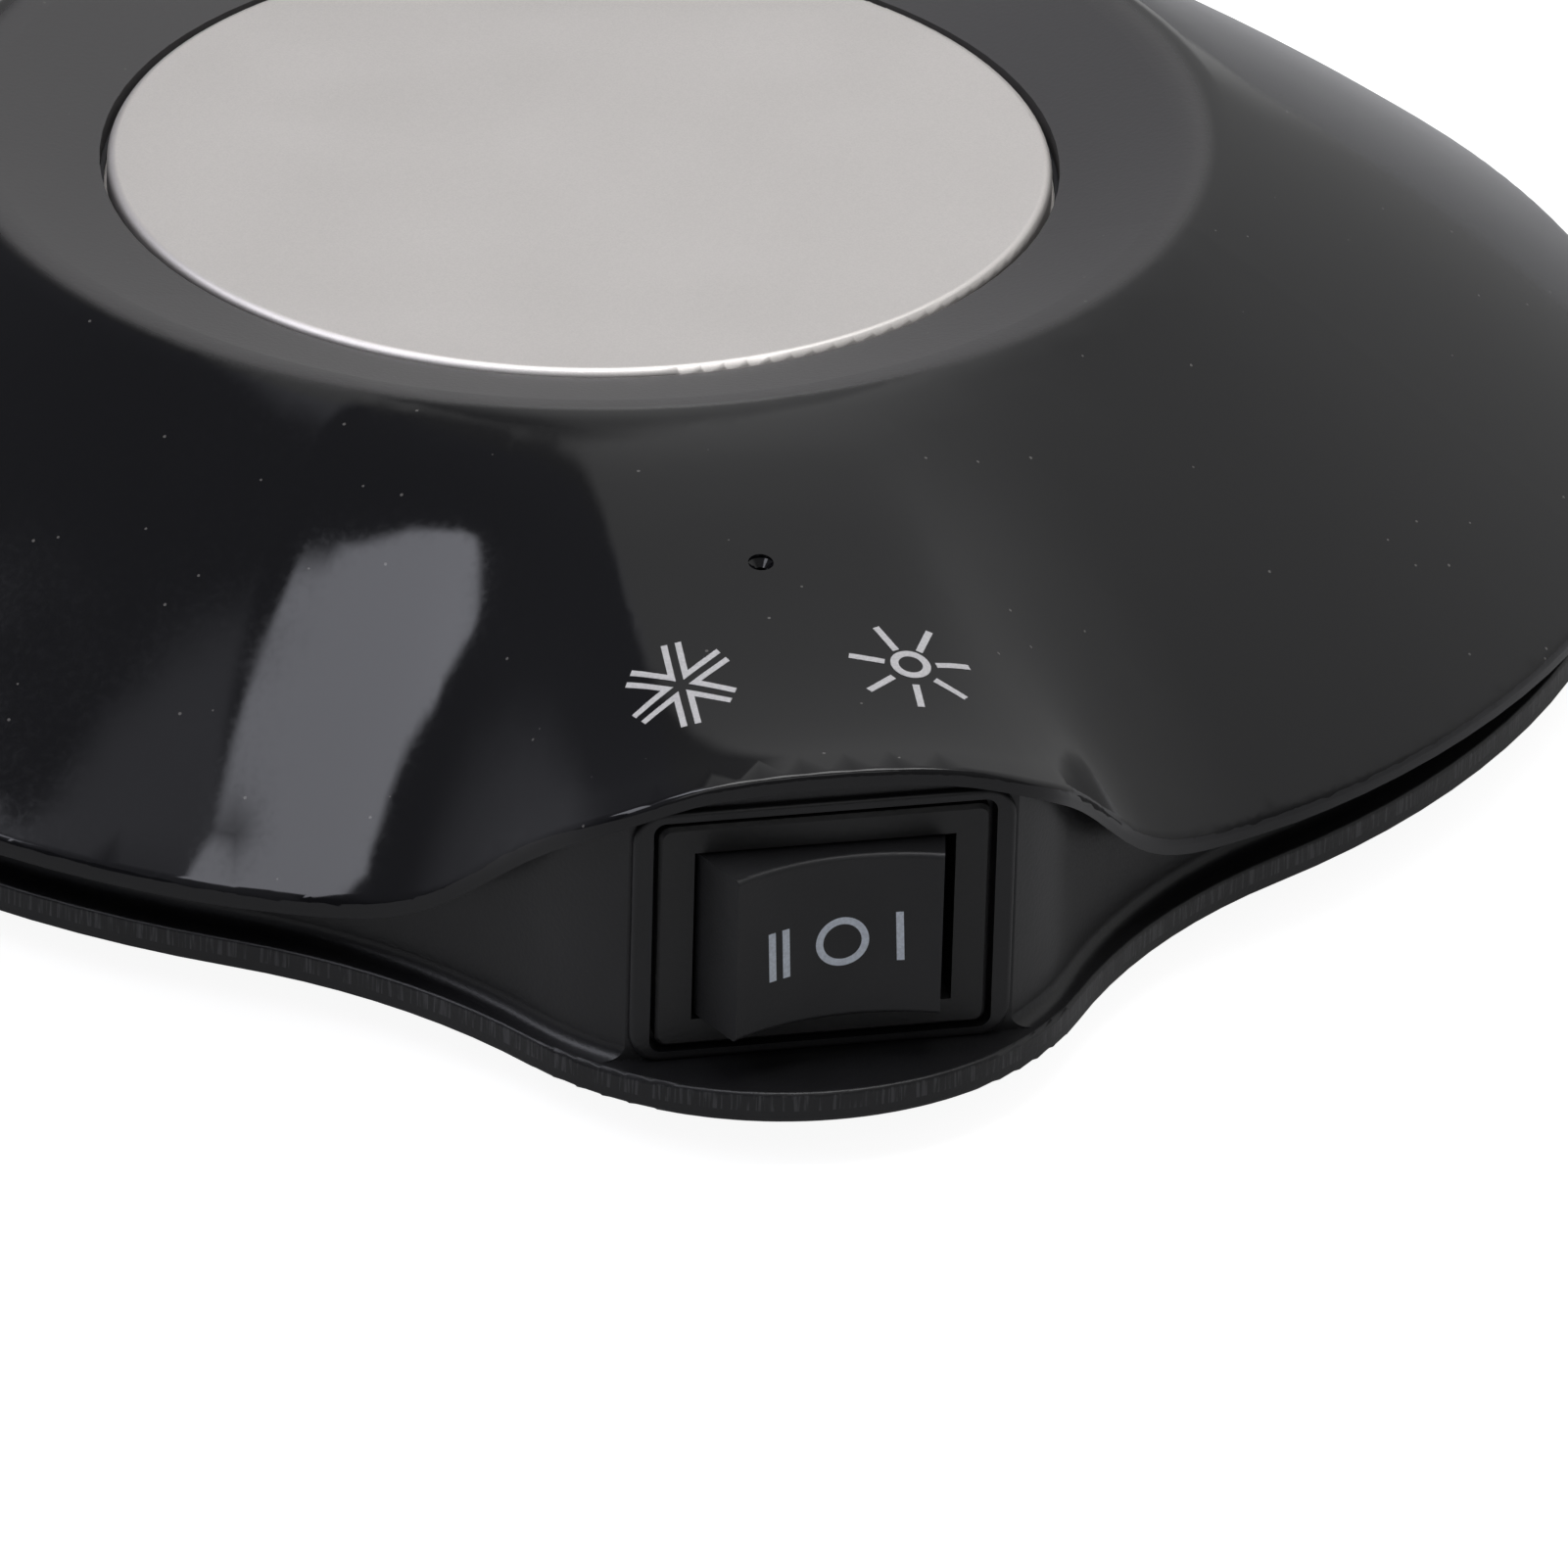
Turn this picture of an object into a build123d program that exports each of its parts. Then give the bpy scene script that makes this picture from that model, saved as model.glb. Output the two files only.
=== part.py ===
from build123d import *
import os
from math import cos, exp, radians, sin, sqrt

# Desktop mug warmer and cooler: a round aluminium plate over a thermoelectric stack and fan, in a
# glossy shell whose lip lifts in a wave over the rocker switch.
# Millimetres, +Z up. The feet stand on z = 0, the left and right halves mirror each other, and the
# rocker faces -Y. The plate's axis is vertical and lies a little behind the middle of the box.

# ---- Plan, as radii and distances from the plate's axis ----
lip_radius = 72.75  # rim of the upper shell
lip_nose_radius = 21.0  # rounded front of the rim, over the switch
lip_hollow_radius = 40.0  # hollow arc that joins the two
visor_flat = 4.5  # cut from the nose by the straight front edge of the visor
corner_ease = 0.8  # softening where the straight edge meets the nose
nose_forward = 66.0  # centre of every nose arc
flange_radius = 70.75
flange_nose_radius = 20.9
flange_hollow_radius = 46.0
wall_radius = 68.5  # recessed wall of the housing
wall_hollow_radius = 45.0
panel_flat = 4.4  # cut from the nose of the wall by the flat switch panel

# ---- Heights above the underside of the base ----
cover_edge = 0.95  # band of the bottom cover that shows under the flange
flange_top = 2.1
cover_floor = 1.8  # inner face of the bottom cover
lip_height = 5.52  # lower edge of the lip round the back
visor_height = 21.35  # lower edge of the lip at the front
plate_top = 24.15
crest_top = 26.95  # sharp height of the crest, before its rounding
jack_height = 7.5

# ---- Upper shell ----
crest_radius = 41.64
crest_soft = 2.2  # length of the crest's rounding along each side
bow_back = 1.2  # how far the skirt's two guide points stand over its chord, round the back
brow_rise = 1.6  # upper guide point over the crest, in the middle of the visor
brow_sink = 0.65  # lower guide point under the visor's edge
lip_band = 1.15  # height of the lip's upright face
lip_soft = 0.5
lip_wall = 1.1
shell_wall = 2.0
skin_thick = 2.2  # upright thickness of the skirt
opening_radius = 31.9
opening_top = 23.95  # dished ring at the plate's edge
opening_wall = 1.6
lip_wave = (13.9, 2.75)  # the wave along the lip: degrees from the front to its middle, and its width
lower_wave = (18.0, 4.5)  # the same at the skirt's lower guide point
upper_wave = (24.0, 7.0)  # and at its upper one, so that the wave fades towards the crest
front_angle = 60  # degrees each side of the front, where the wave has died out
front_step = 2  # degrees between the sections there

# ---- Housing ----
wall = 2.0
cover_gap = 0.25  # between the housing's wall and the cover's raised floor
panel_wall = 2.5
cheek_gap = 0.5  # between the nose's cheeks and the lip
skin_gap = 0.15  # between the top of the wall and the shell
edge_soft = 0.3
foot_soft = 1.0  # hollow rounding where the wall meets the flange
frame_width = 24.2
frame_height = 17.6
frame_corner = 2.0
frame_proud = 0.5
frame_soft = 0.35
pocket_gap = 0.35  # round the bezel
ear_thick = 2.0
ear_radius = 4.5
jack_pod_wall = 1.6  # round the socket, at its sides and top
jack_pod_corner = 2.5
jack_pod_depth = 7.0
jack_front_wall = 1.2

# ---- Feet and screws ----
foot_stand = 3.5
foot_sink = 0.6
foot_radius = 6.0
foot_taper = 0.5
foot_span = 82.0
case_span_x = 111.0
case_span_y = 45.0
case_screw_radius = 1.5
case_screw_length = 9.0
screw_gap = 0.1
case_head_radius = 2.8
case_head_height = 1.2
boss_radius = 3.4
boss_sink = 0.3  # how far its top stays under the chord of the skirt
recess_width = 0.7  # cross recess in every screw's head
recess_depth = 0.7

# ---- Openings in the bottom cover ----
grille_rings = 4
grille_inner = 5.0
grille_pitch = 3.6
grille_slot = 2.0
grille_spokes = 4
grille_spoke = 2.2
vent_circle = 52.0
vent_count = 7
vent_spread = 24.0  # degrees
vent_length = 8.0
vent_slot = 1.8

# ---- Plate and thermoelectric stack ----
plate_radius = 31.4
plate_edge_soft = 0.6
plate_flange_radius = 34.5
plate_flange_thick = 0.7
gasket_thick = 0.5
gasket_margin = 0.2
pad_thick = 0.3
ceramic_thick = 0.8
pellet_height = 1.6
pellet_size = 2.4
pellet_pitch = 4.6
pellet_rows = 8
module_width = 40.0
insulator_width = 58.0
insulator_gap = 0.3
sink_width = 60.0
sink_base = 2.5
fin_thick = 1.2
fin_pitch = 4.2
fin_count = 15
clamp_span = 50.0
clamp_radius = 1.5
clamp_head_radius = 2.75
clamp_head_height = 2.0
clamp_well_gap = 0.75  # round the clamp's head, between the fins
clamp_grip = 2.0  # thread length in the plate
cutout_length = 8.0
cutout_width = 5.0
cutout_height = 3.0
cutout_back = 24.5

# ---- Fan ----
fan_width = 40.0
fan_thick = 7.0
fan_corner = 3.0
fan_bore = 19.0
fan_hole_span = 32.0
fan_screw_radius = 1.45
fan_head_radius = 2.7
fan_head_height = 1.8
fan_screw_grip = 4.0
post_radius = 3.2
motor_disc_radius = 9.0
motor_disc_thick = 1.2
strut_width = 2.0
strut_count = 3
sleeve_radius = 3.0
sleeve_drop = 3.6
bearing_radius = 1.6
bearing_gap = 0.02
shaft_radius = 1.0
shaft_gap = 0.04
hub_radius = 9.5
hub_wall = 1.0
hub_rise = 0.6  # rotor above the cover
hub_height = 4.8
magnet_thick = 1.1
magnet_height = 3.0
stator_radius = 6.9
stator_thick = 2.2
stator_notch = 1.5
stator_drop = 0.8  # below the motor disc
blade_count = 7
blade_tip = 18.3
blade_thick = 0.8
blade_root_chord = 6.0
blade_tip_chord = 7.6
blade_root_pitch = 42  # degrees
blade_tip_pitch = 30

# ---- Circuit board ----
board_width = 46.0
board_depth = 17.0
board_back = 44.5
board_thick = 1.6
board_stand = 4.0
board_post_radius = 2.6
board_post_span = 38.0
board_screw_radius = 1.2
board_screw_length = 4.6
board_head_radius = 2.2
board_head_height = 1.3
capacitor_aside = 10.0
capacitor_radius = 3.15
capacitor_height = 7.0
inductor_width = 7.0
inductor_height = 4.0
inductor_soft = 0.9
inductor_wall = 0.9
inductor_core = 1.75
inductor_dish = 1.0
driver_aside = 10.0
driver_width = 6.6
driver_depth = 5.4
driver_height = 2.3
driver_lead_pitch = 1.5
driver_lead_width = 0.6
driver_lead_reach = 0.9
connector_pitch = 9.5
connector_width = 7.4
connector_depth = 4.0
connector_height = 5.0
connector_wall = 0.8

# ---- Power inlet ----
jack_width = 9.0
jack_tall = 8.0
jack_depth = 13.0
jack_bore = 3.15
jack_bore_depth = 11.0
jack_pin_radius = 1.05
jack_pin_length = 9.5
jack_clearance = 0.1

# ---- Rocker switch ----
bezel_width = 21.0
bezel_height = 15.5
bezel_thick = 1.6
bezel_corner = 0.8
bezel_soft = 0.25
bezel_proud = 0.54  # its face ahead of the panel
switch_width = 18.9
switch_tall = 12.7
switch_depth = 14.0
switch_floor = 1.2
cutout_gap = 0.15
window_width = 16.5
window_height = 11.8
barb_reach = 0.5
barb_length = 2.6
barb_height = 6.0
rocker_base = 16.1
rocker_face = 13.3
rocker_height = 11.4
rocker_rise = 3.0
rocker_saddle = 1.4
rocker_skirt = 2.2
rocker_draft = 0.55  # how far each end of the skirt draws in
rocker_soft = 0.35
pivot_depth = 1.2  # behind the bezel's face
rocker_tilt = 6.0  # degrees, to the pressed I side
axle_radius = 0.9
axle_gap = 0.05
axle_reach = 0.7
stem_radius = 2.2
stem_length = 6.0
stem_bore = 1.3
stem_bore_depth = 4.6
plunger_radius = 1.25
plunger_length = 3.2
plunger_out = 1.8  # how far its tip stands out of the stem
plunger_soft = 0.9
spring_wire = 0.3
spring_turns = 4
contact_length = 11.5
contact_width = 5.0
contact_thick = 0.6
contact_gap = 0.2
contact_tilt = 6.0  # degrees
fulcrum_gap = 0.1
terminal_width = 4.8
terminal_thick = 0.8
terminal_reach = 6.5
terminal_pitch = 4.9

# ---- Indicator ----
led_forward = 60.3
led_hole = 0.4
led_mouth = 0.8
led_radius = 1.5
led_length = 4.4
led_flange = 1.9
led_flange_thick = 0.8
led_lead = 3.0
led_lead_radius = 0.25
led_tube_wall = 1.1
led_tube_gap = 0.1
led_under_skin = 2.3

# ---- Worked out from the sizes above ----
nose_reach = nose_forward + flange_nose_radius
inlet_gap = 2 * skin_gap  # between the inlet's pod and the notch in the shell
notch_half = jack_width / 2 + jack_pod_wall + inlet_gap
back_reach = sqrt(lip_radius**2 - notch_half**2)
axis_y = (nose_reach - back_reach) / 2
base = foot_stand
plate_axis = Axis((0, axis_y, 0), (0, 0, 1))
cheek_radius = lip_nose_radius - lip_wall - cheek_gap
visor_reach = nose_forward + lip_nose_radius - visor_flat
panel_reach = nose_forward + cheek_radius - panel_flat
bezel_y = axis_y - panel_reach - bezel_proud
switch_z = base + flange_top + frame_height / 2
pivot_y = bezel_y + pivot_depth
frame_y = axis_y - panel_reach - frame_proud
barb_y = axis_y - panel_reach + panel_wall + cutout_gap
jack_y = axis_y + wall_radius - jack_front_wall
board_y = axis_y + board_back
plate_seat = opening_top - opening_wall


def at_axis(height):
    """Level plane at a height above the ground, centred on the plate's axis."""
    return Plane((0, axis_y, height))


def facing_front(y, z):
    """Upright plane that faces the front, with X to the right and Z up."""
    return Plane(origin=(0, y, z), x_dir=(1, 0, 0), z_dir=(0, -1, 0))


def facing_back(y, z):
    """Upright plane that faces the back, with Z up."""
    return Plane(origin=(0, y, z), x_dir=(-1, 0, 0), z_dir=(0, 1, 0))


def radial_plane(angle):
    """Upright plane through the plate's axis; its x runs outward, at an angle from the front."""
    outward = Vector(sin(radians(angle)), -cos(radians(angle)), 0)
    return Plane(origin=(0, axis_y, base), x_dir=outward, z_dir=outward.cross(Vector(0, 0, 1)))


def hollow_centre(round_radius, nose_radius, hollow_radius):
    """How far aside and forward of the axis the arc between the round part and the nose is centred."""
    reach = round_radius + hollow_radius
    to_nose = nose_radius + hollow_radius
    forward = (reach**2 + nose_forward**2 - to_nose**2) / (2 * nose_forward)
    return sqrt(reach**2 - forward**2), forward


def pebble(height, round_radius, nose_radius, hollow_radius, reach=None):
    """Plan of the base: a circle run into the nose by two hollow arcs, cut flat at a reach."""
    aside, forward = hollow_centre(round_radius, nose_radius, hollow_radius)
    hollow = Vector(aside, -forward)
    nose = Vector(0, -nose_forward)
    round_end = hollow * (round_radius / (round_radius + hollow_radius))
    nose_end = nose + (hollow - nose) * (nose_radius / (nose_radius + hollow_radius))
    waist = hollow + ((round_end + nose_end) / 2 - hollow).normalized() * hollow_radius
    tip = nose - Vector(0, nose_radius)
    with BuildSketch(at_axis(height)) as plan:
        with BuildLine():
            right = [round_end, waist, nose_end]
            left = [Vector(-p.X, p.Y) for p in right]
            ThreePointArc(right[0], (0, round_radius), left[0])
            ThreePointArc(*right)
            ThreePointArc(*left)
            ThreePointArc(right[2], tip, left[2])
        make_face()
        if reach is not None:
            depth = reach + round_radius
            with Locations((0, -reach)):
                Rectangle(2 * round_radius, depth, align=(Align.CENTER, Align.MIN), mode=Mode.INTERSECT)
    return plan.sketch


def wave(angle, middle, width):
    """1 under the middle of the visor, 0 round the back, with a smooth step between."""
    right = 1 / (1 + exp((angle - middle) / width))
    left = 1 / (1 + exp((-angle - middle) / width))
    return right * left


def lip_reach(angle):
    """Distance from the axis to the lip, along the nose, the hollow arc or the round rim."""
    turn = abs(radians(angle))
    aside, forward = hollow_centre(lip_radius, lip_nose_radius, lip_hollow_radius)
    nose_end = Vector(aside, nose_forward - forward) * (lip_nose_radius / (lip_nose_radius + lip_hollow_radius))
    if turn >= Vector(0, 1).get_angle(Vector(aside, forward)) * radians(1):
        return lip_radius
    if turn >= Vector(0, 1).get_angle(Vector(nose_end.X, nose_forward - nose_end.Y)) * radians(1):
        along = aside * sin(turn) + forward * cos(turn)
        off = aside * cos(turn) - forward * sin(turn)
        return along - sqrt(lip_hollow_radius**2 - off**2)
    nose = nose_forward * cos(turn) + sqrt(lip_nose_radius**2 - (nose_forward * sin(turn)) ** 2)
    straight = visor_reach / cos(turn)
    return (nose + straight - sqrt((nose - straight) ** 2 + corner_ease**2)) / 2


def skin_points(angle):
    """Crest, upper and lower guide points and lip of the outer skin in its radial plane."""
    reach = lip_reach(angle)
    run = (reach - crest_radius) / 3
    low_lip = lip_height + lip_band
    high_lip = visor_height + lip_band
    fall = (crest_top - low_lip) / 3
    back_upper = crest_top - fall + bow_back
    back_lower = low_lip + fall + bow_back
    upper = back_upper + (crest_top + brow_rise - back_upper) * wave(angle, *upper_wave)
    lower = back_lower + (high_lip - brow_sink - back_lower) * wave(angle, *lower_wave)
    lip = low_lip + (high_lip - low_lip) * wave(angle, *lip_wave)
    return (
        Vector(crest_radius, crest_top),
        Vector(crest_radius + run, upper),
        Vector(reach - run, lower),
        Vector(reach, lip),
    )


def outer_section(angle):
    """Everything under the outer skin, from the plate's opening to the lip."""
    crest, upper, lower, lip = skin_points(angle)
    opening = Vector(opening_radius, opening_top)
    foot = lip - Vector(0, lip_band)
    crest_in = crest + (opening - crest).normalized() * crest_soft
    crest_out = crest + (upper - crest).normalized() * crest_soft
    lip_over = lip + (lower - lip).normalized() * lip_soft
    lip_under = lip - Vector(0, lip_soft)
    inside = foot - Vector(2 * lip_wall, 0)
    core = Vector(opening_radius, plate_seat - 2 * shell_wall)
    with BuildSketch(radial_plane(angle)) as section:
        with BuildLine():
            Line(opening, crest_in)
            Bezier(crest_in, crest, crest_out)
            Bezier(crest_out, upper, lower, lip_over)
            Bezier(lip_over, lip, lip_under)
            Polyline(lip_under, foot, inside, core, opening)
        make_face()
    return section.sketch


def inner_section(angle):
    """The hollow under the shell, from inside the plate's flange to the back of the lip."""
    crest, upper, lower, lip = skin_points(angle)
    foot = lip - Vector(lip_wall, lip_band)
    down = Vector(0, skin_thick)
    seat_edge = Vector(plate_flange_radius + opening_radius - plate_radius, plate_seat)
    core = opening_radius - 2 * shell_wall
    with BuildSketch(radial_plane(angle)) as section:
        with BuildLine():
            Polyline((foot.X, -base), (core, -base), (core, plate_seat), seat_edge, crest - down)
            Bezier(crest - down, upper - down, lower - down, foot)
            Line(foot, (foot.X, -base))
        make_face()
    return section.sketch


def round_body(section):
    """Body with the given radial section: turned round the back, lofted through the wave."""
    steps = range(-front_angle, front_angle + 1, front_step)
    with BuildPart() as body:
        revolve(section(front_angle), axis=plate_axis, revolution_arc=360 - 2 * front_angle)
        loft([section(angle) for angle in steps])
    return body.part


def skin_height(reach, angle):
    """Height of the outer skin above the ground, at a distance from the axis."""
    crest, upper, lower, lip = skin_points(angle)
    out = (reach - crest.X) / (lip.X - crest.X)
    back = 1 - out
    upper_part = back**2 * (back * crest.Y + 3 * out * upper.Y)
    lower_part = out**2 * (3 * back * lower.Y + out * lip.Y)
    return base + upper_part + lower_part


def jack_arch(reach, foot, gap):
    """Outline of the inlet's pod on an upright plane behind the axis, from a foot up, with a gap round it."""
    half = jack_width / 2 + jack_pod_wall + gap
    top = jack_height + jack_tall / 2 + jack_pod_wall + gap
    with BuildSketch(facing_back(axis_y + reach, base + foot)) as arch:
        Rectangle(2 * half, top - foot, align=(Align.CENTER, Align.MIN))
        fillet(arch.vertices().group_by(Axis.Y)[-1], jack_pod_corner + gap)
    return arch.sketch


os.makedirs("parts", exist_ok=True)

under_skin = round_body(inner_section)

# ---- Bosses that take the case screws, trimmed inside the skirt ----
boss_foot = cover_floor + ear_thick
boss_circle = sqrt(case_span_x**2 + case_span_y**2) / 2
with BuildPart() as bosses:
    with BuildSketch(radial_plane(180)):
        with BuildLine():
            crest, *guides, lip = skin_points(180)
            slope = (lip.Y - crest.Y) / (lip.X - crest.X)
            inner = boss_circle - 2 * boss_radius
            outer = boss_circle + 2 * boss_radius
            inner_top = crest.Y + slope * (inner - crest.X) - boss_sink
            outer_top = crest.Y + slope * (outer - crest.X) - boss_sink
            Polyline((inner, boss_foot), (outer, boss_foot), (outer, outer_top), (inner, inner_top), close=True)
        make_face()
    revolve(axis=plate_axis)
    with BuildSketch(at_axis(base)):
        with GridLocations(case_span_x, case_span_y, 2, 2):
            Circle(boss_radius)
    extrude(amount=crest_top, mode=Mode.INTERSECT)
    with BuildSketch(at_axis(base + boss_foot)):
        with GridLocations(case_span_x, case_span_y, 2, 2):
            Circle(case_screw_radius + screw_gap)
    extrude(amount=case_screw_length - cover_floor, mode=Mode.SUBTRACT)

# ---- Upper shell: dished ring, crest, skirt and the lip that rises into the visor ----
led_y = axis_y - led_forward
led_skin = skin_height(led_forward, 0)
led_top = led_skin - led_under_skin
led_tube = led_radius + led_tube_gap
with BuildPart() as upper_shell:
    add(round_body(outer_section))
    add(under_skin, mode=Mode.SUBTRACT)
    add(bosses.part)
    with BuildSketch(Plane((0, led_y, led_top - led_length + led_flange_thick))):
        Circle(led_tube + led_tube_wall)
    extrude(amount=led_length)
    with BuildSketch(Plane((0, led_y, led_top - led_length))):
        Circle(led_tube)
    extrude(amount=led_length, mode=Mode.SUBTRACT)
    with Locations((0, led_y, led_skin)):
        CounterSinkHole(radius=led_hole, counter_sink_radius=led_mouth, depth=2 * led_under_skin)
    extrude(
        jack_arch(lip_radius, 0, inlet_gap),
        wall_radius - lip_radius - jack_pod_depth,
        mode=Mode.SUBTRACT,
    )
upper_shell.part.label = "upper_shell"
export_step(upper_shell.part, "parts/upper_shell.step")

# ---- Housing: flange, recessed wall, switch pod with its raised frame, ears and inlet pod ----
hollow_plan = (wall_radius - wall, cheek_radius - wall, wall_hollow_radius + wall, panel_reach - panel_wall)
with BuildPart() as housing_wall:
    extrude(pebble(base + cover_edge, wall_radius, cheek_radius, wall_hollow_radius, panel_reach), crest_top)
    add(Pos(0, 0, -skin_gap) * under_skin, mode=Mode.INTERSECT)

with BuildPart() as switch_frame:
    with BuildSketch(facing_front(axis_y - panel_reach, switch_z)):
        RectangleRounded(frame_width, frame_height, frame_corner)
    extrude(amount=frame_proud)
    fillet(switch_frame.edges().group_by(Axis.Y)[0], frame_soft)

with BuildPart() as housing:
    extrude(
        pebble(base + cover_edge, flange_radius, flange_nose_radius, flange_hollow_radius),
        flange_top - cover_edge,
    )
    fillet(housing.edges().group_by(Axis.Z)[-1], edge_soft)
    add(housing_wall.part)
    extrude(pebble(base + cover_edge, *hollow_plan), crest_top, mode=Mode.SUBTRACT)
    ledge = housing.faces().filter_by(Plane.XY).group_by(Axis.Z)[-1].sort_by(SortBy.AREA)[-1]
    fillet(ledge.inner_wires()[0].edges().filter_by(GeomType.CIRCLE), foot_soft)
    add(switch_frame.part)
    with BuildSketch(facing_front(frame_y, switch_z)):
        RectangleRounded(bezel_width + 2 * pocket_gap, bezel_height + 2 * pocket_gap, bezel_corner)
    extrude(amount=-(bezel_y + bezel_thick - frame_y), mode=Mode.SUBTRACT)
    with BuildSketch(facing_front(frame_y, switch_z)):
        Rectangle(switch_width + 2 * cutout_gap, switch_tall + 2 * cutout_gap)
    extrude(amount=-2 * panel_wall, mode=Mode.SUBTRACT)
    with BuildSketch(at_axis(base + cover_floor)):
        with Locations((case_span_x / 2, case_span_y / 2), (case_span_x / 2, -case_span_y / 2)):
            Circle(ear_radius)
            Rectangle(wall_radius, 2 * ear_radius, align=(Align.MIN, Align.CENTER))
        mirror(about=Plane.YZ)
        Circle(wall_radius - wall / 2, mode=Mode.INTERSECT)
        with GridLocations(case_span_x, case_span_y, 2, 2):
            Circle(case_screw_radius + screw_gap, mode=Mode.SUBTRACT)
    extrude(amount=ear_thick)
    extrude(jack_arch(wall_radius, cover_floor, 0), -jack_pod_depth)
    with BuildSketch(facing_back(axis_y + wall_radius, base + jack_height)):
        Circle(jack_bore + jack_clearance)
    extrude(amount=-2 * jack_pod_depth, mode=Mode.SUBTRACT)
    with BuildSketch(facing_back(jack_y, base + jack_height)):
        Rectangle(jack_width + 2 * jack_clearance, jack_tall + 2 * jack_clearance)
    extrude(amount=-2 * jack_pod_depth, mode=Mode.SUBTRACT)
housing.part.label = "housing"
export_step(housing.part, "parts/housing.step")

# ---- Bottom cover: closing plate with the fan's intake grille, side vents, posts and recesses ----
with BuildPart() as bottom_cover:
    extrude(pebble(base, flange_radius, flange_nose_radius, flange_hollow_radius), cover_edge)
    fillet(bottom_cover.edges().group_by(Axis.Z)[0], edge_soft)
    extrude(
        pebble(
            base,
            wall_radius - wall - cover_gap,
            cheek_radius - wall - cover_gap,
            wall_hollow_radius + wall + cover_gap,
            panel_reach - panel_wall - cover_gap,
        ),
        cover_floor,
    )
    with BuildSketch(at_axis(base)):
        for ring in reversed(range(grille_rings)):
            Circle(grille_inner + grille_pitch * ring + grille_slot)
            Circle(grille_inner + grille_pitch * ring, mode=Mode.SUBTRACT)
        with PolarLocations(0, grille_spokes):
            Rectangle(fan_bore, grille_spoke, align=(Align.MIN, Align.CENTER), mode=Mode.SUBTRACT)
    extrude(amount=cover_floor, mode=Mode.SUBTRACT)
    with BuildSketch(at_axis(base)):
        for side in (0, 180):
            with PolarLocations(vent_circle, vent_count, side - vent_spread / 2, vent_spread, endpoint=True):
                SlotOverall(vent_length, vent_slot)
    extrude(amount=cover_floor, mode=Mode.SUBTRACT)
    with BuildSketch(at_axis(base)):
        with GridLocations(foot_span, foot_span, 2, 2):
            Circle(foot_radius + screw_gap)
    extrude(amount=foot_sink, mode=Mode.SUBTRACT)
    with BuildSketch(at_axis(base)):
        with GridLocations(case_span_x, case_span_y, 2, 2):
            Circle(case_screw_radius + screw_gap)
    extrude(amount=cover_floor, mode=Mode.SUBTRACT)
    with BuildSketch(at_axis(base)):
        with GridLocations(case_span_x, case_span_y, 2, 2):
            Circle(case_head_radius + screw_gap)
    extrude(amount=case_head_height, mode=Mode.SUBTRACT)
    with BuildSketch(Plane((0, board_y, base + cover_floor))):
        with GridLocations(board_post_span, 0, 2, 1):
            Circle(board_post_radius)
    extrude(amount=board_stand)
    with BuildSketch(Plane((0, board_y, base + cover_floor + board_stand))):
        with GridLocations(board_post_span, 0, 2, 1):
            Circle(board_screw_radius + screw_gap)
    extrude(amount=-board_stand, mode=Mode.SUBTRACT)
bottom_cover.part.label = "bottom_cover"
export_step(bottom_cover.part, "parts/bottom_cover.step")

# ---- Four rubber feet, held in shallow recesses ----
with BuildPart() as rubber_feet:
    with BuildSketch(at_axis(base + foot_sink)):
        with GridLocations(foot_span, foot_span, 2, 2):
            Circle(foot_radius)
    extrude(amount=-(foot_stand + foot_sink))
    chamfer(rubber_feet.edges().group_by(Axis.Z)[0], foot_taper)
rubber_feet.part.label = "rubber_feet"
export_step(rubber_feet.part, "parts/rubber_feet.step")

# ---- Four case screws, from below through the cover and the housing's ears into the shell ----
with BuildPart() as case_screws:
    with BuildSketch(at_axis(base)):
        with GridLocations(case_span_x, case_span_y, 2, 2):
            Circle(case_head_radius)
    extrude(amount=case_head_height)
    with BuildSketch(at_axis(base)):
        with GridLocations(case_span_x, case_span_y, 2, 2):
            Circle(case_screw_radius)
    extrude(amount=case_screw_length)
    with BuildSketch(at_axis(base)):
        with GridLocations(case_span_x, case_span_y, 2, 2):
            Rectangle(case_head_radius, recess_width)
            Rectangle(recess_width, case_head_radius)
    extrude(amount=recess_depth, mode=Mode.SUBTRACT)
case_screws.part.label = "case_screws"
export_step(case_screws.part, "parts/case_screws.step")

# ---- Aluminium plate: a disc in the shell's opening with a flange caught under it ----
plate_under = plate_seat - gasket_thick - plate_flange_thick
with BuildPart() as mug_plate:
    with BuildSketch(at_axis(base + plate_under)):
        Circle(plate_radius)
    extrude(amount=plate_top - plate_under)
    fillet(mug_plate.edges().group_by(Axis.Z)[-1], plate_edge_soft)
    with BuildSketch(at_axis(base + plate_under)):
        Circle(plate_flange_radius)
    extrude(amount=plate_flange_thick)
    with BuildSketch(at_axis(base + plate_under)):
        with GridLocations(clamp_span, 0, 2, 1):
            Circle(clamp_radius + screw_gap)
    extrude(amount=clamp_grip, mode=Mode.SUBTRACT)
mug_plate.part.label = "mug_plate"
export_step(mug_plate.part, "parts/mug_plate.step")

# ---- Gasket between the plate's flange and the shell ----
with BuildPart() as plate_gasket:
    with BuildSketch(at_axis(base + plate_seat - gasket_thick)):
        Circle(plate_flange_radius - gasket_margin)
        Circle(plate_radius + gasket_margin, mode=Mode.SUBTRACT)
    extrude(amount=gasket_thick)
plate_gasket.part.label = "plate_gasket"
export_step(plate_gasket.part, "parts/plate_gasket.step")

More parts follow.
